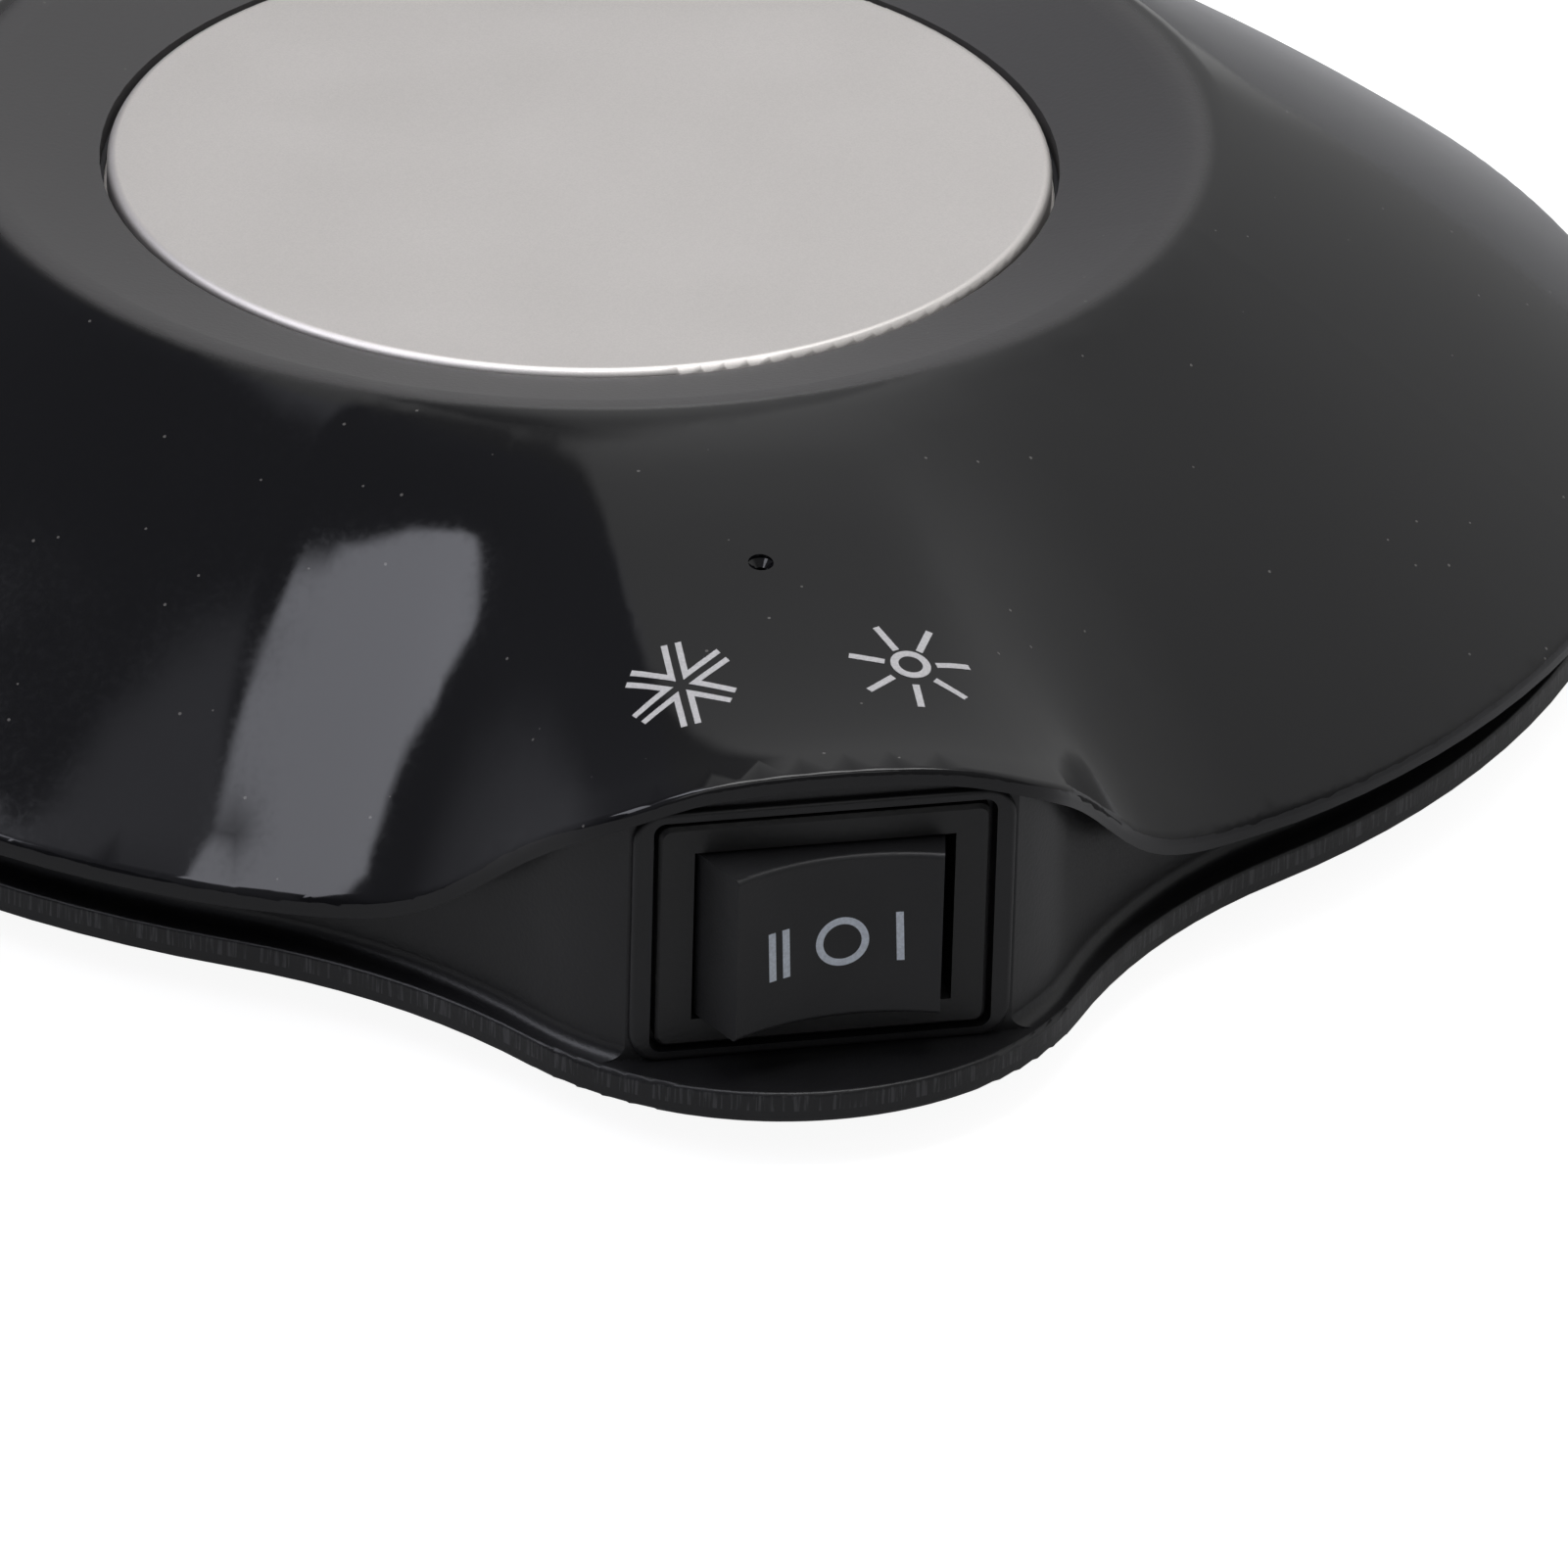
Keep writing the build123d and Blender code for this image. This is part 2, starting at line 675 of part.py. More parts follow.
# ---- Thermoelectric module between two thermal pads ----
stack_base = plate_under - 2 * (pad_thick + ceramic_thick) - pellet_height
with BuildPart() as lower_thermal_pad:
    with BuildSketch(at_axis(base + stack_base)):
        Rectangle(module_width, module_width)
    extrude(amount=pad_thick)
lower_thermal_pad.part.label = "lower_thermal_pad"
export_step(lower_thermal_pad.part, "parts/lower_thermal_pad.step")

with BuildPart() as peltier_lower_ceramic:
    with BuildSketch(at_axis(base + stack_base + pad_thick)):
        Rectangle(module_width, module_width)
    extrude(amount=ceramic_thick)
peltier_lower_ceramic.part.label = "peltier_lower_ceramic"
export_step(peltier_lower_ceramic.part, "parts/peltier_lower_ceramic.step")

with BuildPart() as peltier_pellets:
    with BuildSketch(at_axis(base + stack_base + pad_thick + ceramic_thick)):
        with GridLocations(pellet_pitch, pellet_pitch, pellet_rows, pellet_rows):
            Rectangle(pellet_size, pellet_size)
    extrude(amount=pellet_height)
peltier_pellets.part.label = "peltier_pellets"
export_step(peltier_pellets.part, "parts/peltier_pellets.step")

with BuildPart() as peltier_upper_ceramic:
    with BuildSketch(at_axis(base + plate_under - pad_thick - ceramic_thick)):
        Rectangle(module_width, module_width)
    extrude(amount=ceramic_thick)
peltier_upper_ceramic.part.label = "peltier_upper_ceramic"
export_step(peltier_upper_ceramic.part, "parts/peltier_upper_ceramic.step")

with BuildPart() as upper_thermal_pad:
    with BuildSketch(at_axis(base + plate_under - pad_thick)):
        Rectangle(module_width, module_width)
    extrude(amount=pad_thick)
upper_thermal_pad.part.label = "upper_thermal_pad"
export_step(upper_thermal_pad.part, "parts/upper_thermal_pad.step")

# ---- Foam frame round the module, between heat sink and plate ----
with BuildPart() as foam_insulator:
    with BuildSketch(at_axis(base + stack_base)):
        Rectangle(insulator_width, insulator_width)
        Rectangle(module_width + 2 * insulator_gap, module_width + 2 * insulator_gap, mode=Mode.SUBTRACT)
        with GridLocations(clamp_span, 0, 2, 1):
            Circle(clamp_radius + insulator_gap, mode=Mode.SUBTRACT)
        with Locations((0, cutout_back)):
            Rectangle(
                cutout_length + 2 * insulator_gap,
                cutout_width + 2 * insulator_gap,
                mode=Mode.SUBTRACT,
            )
    extrude(amount=plate_under - stack_base)
foam_insulator.part.label = "foam_insulator"
export_step(foam_insulator.part, "parts/foam_insulator.step")

# ---- Thermal cutout, lying on the heat sink in a notch of the foam ----
with BuildPart() as thermal_cutout:
    with BuildSketch(Plane((0, axis_y + cutout_back, base + stack_base))):
        Rectangle(cutout_length, cutout_width)
    extrude(amount=cutout_height)
    fillet(thermal_cutout.edges().filter_by(Axis.Z), edge_soft)
thermal_cutout.part.label = "thermal_cutout"
export_step(thermal_cutout.part, "parts/thermal_cutout.step")

# ---- Heat sink: base with fins down to the fan, posts for the fan's screws, wells for the clamps ----
fan_top = cover_floor + fan_thick
with BuildPart() as heat_sink:
    with BuildSketch(at_axis(base + stack_base - sink_base)):
        Rectangle(sink_width, sink_width)
    extrude(amount=sink_base)
    with BuildSketch(at_axis(base + fan_top)):
        with GridLocations(fin_pitch, 0, fin_count, 1):
            Rectangle(fin_thick, sink_width)
    extrude(amount=stack_base - sink_base - fan_top)
    with BuildSketch(at_axis(base + fan_top)):
        with GridLocations(clamp_span, 0, 2, 1):
            Circle(clamp_head_radius + clamp_well_gap)
    extrude(amount=stack_base - sink_base - fan_top, mode=Mode.SUBTRACT)
    with BuildSketch(at_axis(base + fan_top)):
        with GridLocations(fan_hole_span, fan_hole_span, 2, 2):
            Circle(post_radius)
    extrude(amount=stack_base - sink_base - fan_top)
    with BuildSketch(at_axis(base + fan_top)):
        with GridLocations(fan_hole_span, fan_hole_span, 2, 2):
            Circle(fan_screw_radius + screw_gap)
    extrude(amount=fan_screw_grip, mode=Mode.SUBTRACT)
    with BuildSketch(at_axis(base + stack_base)):
        with GridLocations(clamp_span, 0, 2, 1):
            Circle(clamp_radius + screw_gap)
    extrude(amount=-sink_base, mode=Mode.SUBTRACT)
heat_sink.part.label = "heat_sink"
export_step(heat_sink.part, "parts/heat_sink.step")

# ---- Two screws that clamp the heat sink and the module to the plate ----
clamp_head_top = stack_base - sink_base
with BuildPart() as heat_sink_screws:
    with BuildSketch(at_axis(base + clamp_head_top)):
        with GridLocations(clamp_span, 0, 2, 1):
            Circle(clamp_head_radius)
    extrude(amount=-clamp_head_height)
    with BuildSketch(at_axis(base + clamp_head_top)):
        with GridLocations(clamp_span, 0, 2, 1):
            Circle(clamp_radius)
    extrude(amount=plate_under + clamp_grip - screw_gap - clamp_head_top)
    with BuildSketch(at_axis(base + clamp_head_top - clamp_head_height)):
        with GridLocations(clamp_span, 0, 2, 1):
            Rectangle(clamp_head_radius, recess_width)
            Rectangle(recess_width, clamp_head_radius)
    extrude(amount=recess_depth, mode=Mode.SUBTRACT)
heat_sink_screws.part.label = "heat_sink_screws"
export_step(heat_sink_screws.part, "parts/heat_sink_screws.step")

# ---- Fan frame: square with a round duct, motor disc on struts, and the bearing's sleeve ----
with BuildPart() as fan_frame:
    with BuildSketch(at_axis(base + cover_floor)):
        RectangleRounded(fan_width, fan_width, fan_corner)
        Circle(fan_bore, mode=Mode.SUBTRACT)
        with GridLocations(fan_hole_span, fan_hole_span, 2, 2):
            Circle(fan_screw_radius + screw_gap, mode=Mode.SUBTRACT)
    extrude(amount=fan_thick)
    with BuildSketch(at_axis(base + cover_floor)):
        with GridLocations(fan_hole_span, fan_hole_span, 2, 2):
            Circle(fan_head_radius + screw_gap)
    extrude(amount=fan_head_height, mode=Mode.SUBTRACT)
    with BuildSketch(at_axis(base + fan_top)):
        Circle(motor_disc_radius)
        with PolarLocations(0, strut_count):
            Rectangle(fan_bore + edge_soft, strut_width, align=(Align.MIN, Align.CENTER))
    extrude(amount=-motor_disc_thick)
    with BuildSketch(at_axis(base + fan_top - motor_disc_thick)):
        Circle(sleeve_radius)
    extrude(amount=-sleeve_drop)
    with BuildSketch(at_axis(base + fan_top - motor_disc_thick)):
        Circle(bearing_radius)
    extrude(amount=-sleeve_drop, mode=Mode.SUBTRACT)
fan_frame.part.label = "fan_frame"
export_step(fan_frame.part, "parts/fan_frame.step")

# ---- Sleeve bearing in the motor disc's tube ----
bearing_top = fan_top - motor_disc_thick
with BuildPart() as fan_bearing:
    with BuildSketch(at_axis(base + bearing_top)):
        Circle(bearing_radius - bearing_gap)
        Circle(shaft_radius + shaft_gap, mode=Mode.SUBTRACT)
    extrude(amount=-sleeve_drop)
fan_bearing.part.label = "fan_bearing"
export_step(fan_bearing.part, "parts/fan_bearing.step")

# ---- Stator: laminated core with four notches, on the sleeve ----
with BuildPart() as fan_stator:
    with BuildSketch(at_axis(base + bearing_top - stator_drop)):
        Circle(stator_radius)
        Circle(sleeve_radius + bearing_gap, mode=Mode.SUBTRACT)
        with PolarLocations(stator_radius - stator_notch / 2, 4):
            Circle(stator_notch, mode=Mode.SUBTRACT)
    extrude(amount=-stator_thick)
fan_stator.part.label = "fan_stator"
export_step(fan_stator.part, "parts/fan_stator.step")

# ---- Rotor: cup on its shaft, with pitched blades ----
hub_foot = cover_floor + hub_rise
blade_middle = hub_foot + hub_height / 2
with BuildPart() as fan_rotor:
    with BuildSketch(at_axis(base + hub_foot)):
        Circle(hub_radius)
    extrude(amount=hub_height)
    for blade in range(blade_count):
        turn = radians(360 * blade / blade_count)
        outward = Vector(cos(turn), sin(turn), 0)
        around = Vector(-sin(turn), cos(turn), 0)
        for reach, chord, pitch in (
            (hub_radius - hub_wall / 2, blade_root_chord, blade_root_pitch),
            (blade_tip, blade_tip_chord, blade_tip_pitch),
        ):
            across = around * cos(radians(pitch)) + Vector(0, 0, 1) * sin(radians(pitch))
            middle = Vector(0, axis_y, base + blade_middle) + outward * reach
            with BuildSketch(Plane(origin=middle, x_dir=across, z_dir=outward)):
                Rectangle(chord, blade_thick)
        loft(ruled=True)
    with BuildSketch(at_axis(base + hub_foot + hub_wall)):
        Circle(hub_radius - hub_wall)
    extrude(amount=hub_height, mode=Mode.SUBTRACT)
    with BuildSketch(at_axis(base + hub_foot)):
        Circle(shaft_radius)
    extrude(amount=bearing_top - hub_foot - shaft_gap)
fan_rotor.part.label = "fan_rotor"
export_step(fan_rotor.part, "parts/fan_rotor.step")

# ---- Ring magnet inside the rotor's cup ----
with BuildPart() as fan_magnet:
    with BuildSketch(at_axis(base + hub_foot + hub_wall)):
        Circle(hub_radius - hub_wall - bearing_gap)
        Circle(hub_radius - hub_wall - magnet_thick, mode=Mode.SUBTRACT)
    extrude(amount=magnet_height)
fan_magnet.part.label = "fan_magnet"
export_step(fan_magnet.part, "parts/fan_magnet.step")

# ---- Four fan screws, from below into the heat sink's posts ----
with BuildPart() as fan_screws:
    with BuildSketch(at_axis(base + cover_floor + fan_head_height)):
        with GridLocations(fan_hole_span, fan_hole_span, 2, 2):
            Circle(fan_head_radius)
    extrude(amount=-fan_head_height)
    with BuildSketch(at_axis(base + cover_floor + fan_head_height)):
        with GridLocations(fan_hole_span, fan_hole_span, 2, 2):
            Circle(fan_screw_radius)
    extrude(amount=fan_thick - fan_head_height + fan_screw_grip - screw_gap)
    with BuildSketch(at_axis(base + cover_floor)):
        with GridLocations(fan_hole_span, fan_hole_span, 2, 2):
            Rectangle(fan_head_radius, recess_width)
            Rectangle(recess_width, fan_head_radius)
    extrude(amount=recess_depth, mode=Mode.SUBTRACT)
fan_screws.part.label = "fan_screws"
export_step(fan_screws.part, "parts/fan_screws.step")

# ---- Circuit board on the cover's posts, with its screws and parts ----
board_under = base + cover_floor + board_stand
board_top = board_under + board_thick
with BuildPart() as circuit_board:
    with BuildSketch(Plane((0, board_y, board_under))):
        Rectangle(board_width, board_depth)
        with GridLocations(board_post_span, 0, 2, 1):
            Circle(board_screw_radius + screw_gap, mode=Mode.SUBTRACT)
    extrude(amount=board_thick)
circuit_board.part.label = "circuit_board"
export_step(circuit_board.part, "parts/circuit_board.step")

with BuildPart() as board_screws:
    with BuildSketch(Plane((0, board_y, board_top))):
        with GridLocations(board_post_span, 0, 2, 1):
            Circle(board_head_radius)
    extrude(amount=board_head_height)
    with BuildSketch(Plane((0, board_y, board_top))):
        with GridLocations(board_post_span, 0, 2, 1):
            Circle(board_screw_radius)
    extrude(amount=-board_screw_length)
board_screws.part.label = "board_screws"
export_step(board_screws.part, "parts/board_screws.step")

with BuildPart() as board_capacitor:
    with BuildSketch(Plane((-capacitor_aside, board_y, board_top))):
        Circle(capacitor_radius)
    extrude(amount=capacitor_height)
    fillet(board_capacitor.edges().group_by(Axis.Z)[-1], edge_soft)
board_capacitor.part.label = "board_capacitor"
export_step(board_capacitor.part, "parts/board_capacitor.step")

with BuildPart() as board_inductor:
    with BuildSketch(Plane((0, board_y, board_top))):
        RectangleRounded(inductor_width, inductor_width, inductor_soft)
    extrude(amount=inductor_height)
    with BuildSketch(Plane((0, board_y, board_top + inductor_height))):
        Circle(inductor_width / 2 - inductor_wall)
        Circle(inductor_core, mode=Mode.SUBTRACT)
    extrude(amount=-inductor_dish, mode=Mode.SUBTRACT)
board_inductor.part.label = "board_inductor"
export_step(board_inductor.part, "parts/board_inductor.step")

with BuildPart() as board_driver:
    with BuildSketch(Plane((driver_aside, board_y, board_top))):
        Rectangle(driver_width, driver_depth)
    extrude(amount=driver_height)
    chamfer(board_driver.edges().group_by(Axis.Z)[-1], edge_soft)
    with BuildSketch(Plane((driver_aside, board_y, board_top))):
        with GridLocations(driver_lead_pitch, 0, 4, 1):
            Rectangle(driver_lead_width, driver_depth + 2 * driver_lead_reach)
    extrude(amount=driver_lead_width)
board_driver.part.label = "board_driver"
export_step(board_driver.part, "parts/board_driver.step")

with BuildPart() as board_connectors:
    with BuildSketch(Plane((0, board_y - board_depth / 2 + connector_depth / 2, board_top))):
        with GridLocations(connector_pitch, 0, 3, 1):
            Rectangle(connector_width, connector_depth)
    extrude(amount=connector_height)
    with BuildSketch(facing_front(board_y - board_depth / 2, board_top + connector_height / 2)):
        with GridLocations(connector_pitch, 0, 3, 1):
            Rectangle(connector_width - 2 * connector_wall, connector_height - 2 * connector_wall)
    extrude(amount=connector_wall - connector_depth, mode=Mode.SUBTRACT)
board_connectors.part.label = "board_connectors"
export_step(board_connectors.part, "parts/board_connectors.step")

# ---- Power inlet: socket in the housing's rear pod, with its centre pin ----
with BuildPart() as dc_jack:
    with BuildSketch(facing_back(jack_y, base + jack_height)):
        Rectangle(jack_width, jack_tall)
    extrude(amount=-jack_depth)
    fillet(dc_jack.edges().filter_by(Axis.Y).group_by(Axis.Z)[-1], 2 * edge_soft)
    with BuildSketch(facing_back(jack_y, base + jack_height)):
        Circle(jack_bore)
    extrude(amount=-jack_bore_depth, mode=Mode.SUBTRACT)
    with BuildSketch(facing_back(jack_y, base + jack_height)):
        Circle(jack_pin_radius + bearing_gap)
    extrude(amount=-jack_depth, mode=Mode.SUBTRACT)
dc_jack.part.label = "dc_jack"
export_step(dc_jack.part, "parts/dc_jack.step")

with BuildPart() as dc_jack_pin:
    with BuildSketch(facing_back(jack_y - jack_depth, base + jack_height)):
        Circle(jack_pin_radius)
    extrude(amount=jack_depth - jack_bore_depth + jack_pin_length)
    chamfer(dc_jack_pin.edges().group_by(Axis.Y)[-1], edge_soft)
dc_jack_pin.part.label = "dc_jack_pin"
export_step(dc_jack_pin.part, "parts/dc_jack_pin.step")

# ---- Indicator lamp under the small hole ----
with BuildPart() as indicator_led:
    with BuildSketch(Plane((0, led_y, led_top))):
        Circle(led_radius)
    extrude(amount=-led_length)
    fillet(indicator_led.edges().group_by(Axis.Z)[-1], led_radius - edge_soft)
    with BuildSketch(Plane((0, led_y, led_top - led_length))):
        Circle(led_flange)
    extrude(amount=led_flange_thick)
    with BuildSketch(Plane((0, led_y, led_top - led_length))):
        with GridLocations(led_radius, 0, 2, 1):
            Circle(led_lead_radius)
    extrude(amount=-led_lead)
indicator_led.part.label = "indicator_led"
export_step(indicator_led.part, "parts/indicator_led.step")

# ---- Switch body: bezel, box with a hollow for the rocker, bearing holes and snap barbs ----
with BuildPart() as switch_body:
    with BuildSketch(facing_front(bezel_y, switch_z)):
        RectangleRounded(bezel_width, bezel_height, bezel_corner)
    extrude(amount=-bezel_thick)
    chamfer(switch_body.faces().sort_by(Axis.Y)[0].edges(), bezel_soft)
    with BuildSketch(facing_front(bezel_y + bezel_thick, switch_z)):
        Rectangle(switch_width, switch_tall)
    extrude(amount=-(switch_depth - bezel_thick))
    with BuildSketch(facing_front(bezel_y, switch_z)):
        Rectangle(window_width, window_height)
    extrude(amount=-(switch_depth - switch_floor), mode=Mode.SUBTRACT)
    with BuildSketch(Plane((0, pivot_y, switch_z))):
        Circle(axle_radius + axle_gap)
    extrude(amount=rocker_height / 2 + axle_reach + axle_gap, both=True, mode=Mode.SUBTRACT)
    with BuildSketch(Plane((0, barb_y, switch_z))):
        with BuildLine():
            foot = (switch_width / 2, barb_length)
            Polyline((switch_width / 2, 0), (switch_width / 2 + barb_reach, 0), foot, close=True)
        make_face()
        mirror(about=Plane.YZ)
    extrude(amount=barb_height / 2, both=True)
    with BuildSketch(facing_front(bezel_y + switch_depth, switch_z)):
        with GridLocations(terminal_pitch, 0, 3, 1):
            Rectangle(terminal_thick + 2 * bearing_gap, terminal_width + 2 * bearing_gap)
    extrude(amount=switch_floor, mode=Mode.SUBTRACT)
switch_body.part.label = "switch_body"
export_step(switch_body.part, "parts/switch_body.step")

# ---- Rocker: saddle face on a skirt that turns about two stub axles, with the plunger's stem ----
tilt = radians(rocker_tilt)
rocker_plane = Plane((0, pivot_y, switch_z), x_dir=(cos(tilt), sin(tilt), 0), z_dir=(0, 0, -1))
half_base = rocker_base / 2
half_face = rocker_face / 2
face_out = rocker_rise + pivot_depth


def stem_plane(depth):
    """Plane across the rocker's stem, at a depth from its pivot, that faces into the switch."""
    inward = -rocker_plane.y_dir
    return Plane(rocker_plane.origin + inward * depth, x_dir=rocker_plane.x_dir, z_dir=inward)


with BuildPart() as switch_rocker:
    with BuildSketch(rocker_plane):
        with BuildLine():
            ThreePointArc((-half_face, face_out), (0, face_out - rocker_saddle), (half_face, face_out))
            Polyline(
                (half_face, face_out),
                (half_base, 0),
                (half_base - rocker_draft, -rocker_skirt),
                (-half_base + rocker_draft, -rocker_skirt),
                (-half_base, 0),
                (-half_face, face_out),
            )
        make_face()
    extrude(amount=rocker_height / 2, both=True)
    crown = switch_rocker.edges().filter_by(GeomType.CIRCLE)
    fillet(crown, rocker_soft)
    with BuildSketch(rocker_plane):
        Circle(axle_radius)
    extrude(amount=rocker_height / 2 + axle_reach, both=True)
    with BuildSketch(stem_plane(0)):
        Circle(stem_radius)
    extrude(amount=stem_length)
    with BuildSketch(stem_plane(stem_length)):
        Circle(stem_bore)
    extrude(amount=-stem_bore_depth, mode=Mode.SUBTRACT)
switch_rocker.part.label = "switch_rocker"
export_step(switch_rocker.part, "parts/switch_rocker.step")

# ---- Plunger and its coil spring in the rocker's stem ----
with BuildPart() as switch_plunger:
    with BuildSketch(stem_plane(stem_length + plunger_out - plunger_length)):
        Circle(plunger_radius)
    extrude(amount=plunger_length)
    fillet(switch_plunger.faces().sort_by(Axis.Y)[-1].edges(), plunger_soft)
switch_plunger.part.label = "switch_plunger"
export_step(switch_plunger.part, "parts/switch_plunger.step")

spring_room = stem_bore_depth + plunger_out - plunger_length
spring_start = stem_length - stem_bore_depth + spring_wire
spring_pitch = (spring_room - 2 * spring_wire) / spring_turns
spring_radius = plunger_radius - spring_wire
with BuildPart() as switch_spring:
    with BuildLine() as coil:
        Helix(
            pitch=spring_pitch,
            height=spring_pitch * spring_turns,
            radius=spring_radius,
            center=stem_plane(spring_start).origin,
            direction=stem_plane(spring_start).z_dir,
        )
    with BuildSketch(Plane(origin=coil.line @ 0, z_dir=coil.line % 0)):
        RegularPolygon(spring_wire / 2, 6)
    sweep()
switch_spring.part.label = "switch_spring"
export_step(switch_spring.part, "parts/switch_spring.step")

# ---- Contact: a see-saw plate over the middle terminal ----
lean = radians(contact_tilt)
contact_y = pivot_y + stem_length + plunger_out + contact_gap + contact_thick
contact_plane = Plane((0, contact_y, switch_z), x_dir=(cos(lean), -sin(lean), 0), z_dir=(0, 0, -1))
with BuildPart() as switch_contact:
    with BuildSketch(contact_plane):
        Rectangle(contact_length, contact_thick, align=(Align.CENTER, Align.MIN))
    extrude(amount=contact_width / 2, both=True)
switch_contact.part.label = "switch_contact"
export_step(switch_contact.part, "parts/switch_contact.step")

# ---- Terminals: three blades through the switch's floor ----
terminal_end = bezel_y + switch_depth + terminal_reach
side_top = contact_y + contact_length / 2 * sin(lean) + fulcrum_gap / 2
with BuildPart() as switch_terminals:
    with BuildSketch(facing_front(terminal_end, switch_z)):
        with GridLocations(2 * terminal_pitch, 0, 2, 1):
            Rectangle(terminal_thick, terminal_width)
    extrude(amount=terminal_end - side_top)
    with BuildSketch(facing_front(terminal_end, switch_z)):
        Rectangle(terminal_thick, terminal_width)
    extrude(amount=terminal_end - contact_y - fulcrum_gap)
switch_terminals.part.label = "switch_terminals"
export_step(switch_terminals.part, "parts/switch_terminals.step")
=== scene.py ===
# %% [markdown]
# # A desktop mug warmer and cooler, dressed for its picture
# The appliance is a round glossy shell over a thermoelectric stack. A bare aluminium plate sits in
# the middle, and the lip of the shell lifts in a wave over a three-way rocker switch. The machine
# itself comes ready made as a frame of separate pieces. This lesson gives each piece its finish, and
# adds what is too thin to machine: the printed signs, the worn edges and the dust.

# %% Load the frame
from math import cos, pi, radians, sin, tan, tau

import bmesh
import bpy
from mathutils import Matrix, Vector
from mathutils.bvhtree import BVHTree


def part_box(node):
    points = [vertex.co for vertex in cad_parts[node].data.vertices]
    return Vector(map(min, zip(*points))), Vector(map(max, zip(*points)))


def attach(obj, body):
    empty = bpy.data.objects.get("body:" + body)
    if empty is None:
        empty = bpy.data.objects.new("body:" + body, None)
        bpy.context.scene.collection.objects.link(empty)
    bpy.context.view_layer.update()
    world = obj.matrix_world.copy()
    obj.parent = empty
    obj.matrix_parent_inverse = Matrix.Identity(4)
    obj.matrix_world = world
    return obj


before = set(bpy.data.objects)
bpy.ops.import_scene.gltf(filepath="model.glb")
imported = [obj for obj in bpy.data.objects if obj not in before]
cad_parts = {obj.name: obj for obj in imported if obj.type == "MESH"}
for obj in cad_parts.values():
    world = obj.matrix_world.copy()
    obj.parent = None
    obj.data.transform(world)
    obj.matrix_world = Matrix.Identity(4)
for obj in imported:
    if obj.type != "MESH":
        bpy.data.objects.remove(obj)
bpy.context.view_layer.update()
mm = 0.001
low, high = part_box("mug_plate")
plate_centre = Vector(((low.x + high.x) / 2, (low.y + high.y) / 2, high.z))
print("nodes:", len(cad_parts), "plate centre:", plate_centre)

# %% [markdown]
# ## The camera
# A small product looks largest and calmest through a long lens from nearly a metre away. The camera
# stands a little left of the front, looks down by about 29 degrees and is rolled slightly. Its place
# is worked out from those angles and from the point it aims at, given as a step across and a step
# down from the middle of the plate.

# %% Camera from its angles
camera_aside = radians(-12.3205)
camera_down = radians(28.9895)
camera_roll = radians(1.5945)
camera_away = 943.2855 * mm
aim_across = 13.5405 * mm
aim_down = 41.8421 * mm
lens_length = 326.08
view_end = 20

look = Vector((
    -sin(camera_aside) * cos(camera_down),
    cos(camera_aside) * cos(camera_down),
    -sin(camera_down),
))
level_right = Vector((cos(camera_aside), sin(camera_aside), 0))
level_up = level_right.cross(look)
right = level_right * cos(camera_roll) + level_up * sin(camera_roll)
up = level_up * cos(camera_roll) - level_right * sin(camera_roll)
camera = bpy.data.objects.new("camera", bpy.data.cameras.new("camera"))
bpy.context.scene.collection.objects.link(camera)
camera.data.lens = lens_length
camera.data.clip_end = view_end
camera_spot = plate_centre + right * aim_across - up * aim_down - look * camera_away
camera.matrix_world = Matrix.Translation(camera_spot) @ Matrix((right, up, -look)).transposed().to_4x4()
bpy.context.scene.camera = camera
print("camera at", camera_spot)

# %% [markdown]
# ## Shader maths in plain Python
# A procedural finish is mostly arithmetic: masks are multiplied, faded and mixed. Wired by hand that
# is a wall of small nodes, so one class wraps a socket and turns Python's operators into Math nodes.
# Everything else, such as a noise or a ramp, comes from one method that sets the node's own settings
# before its sockets. The same methods serve the materials and, later, the light of the room.

# %% A socket that can be calculated with
class Wire:
    def __init__(self, tree, socket):
        self.tree = tree
        self.socket = socket

    def maths(self, operation, *others):
        node = self.tree.nodes.new("ShaderNodeMath")
        node.operation = operation
        for slot, value in zip(node.inputs, (self,) + others):
            feed(self.tree, slot, value)
        return Wire(self.tree, node.outputs[0])

    def __add__(self, other):
        return self.maths("ADD", other)

    def __sub__(self, other):
        return self.maths("SUBTRACT", other)

    def __mul__(self, other):
        return self.maths("MULTIPLY", other)

    def __rsub__(self, other):
        return (self * -1).maths("ADD", other)

    __radd__ = __add__
    __rmul__ = __mul__


def feed(tree, slot, value):
    """Link a wire to a socket, or set the socket to a plain value."""
    if isinstance(value, Wire):
        tree.links.new(value.socket, slot)
    else:
        slot.default_value = value


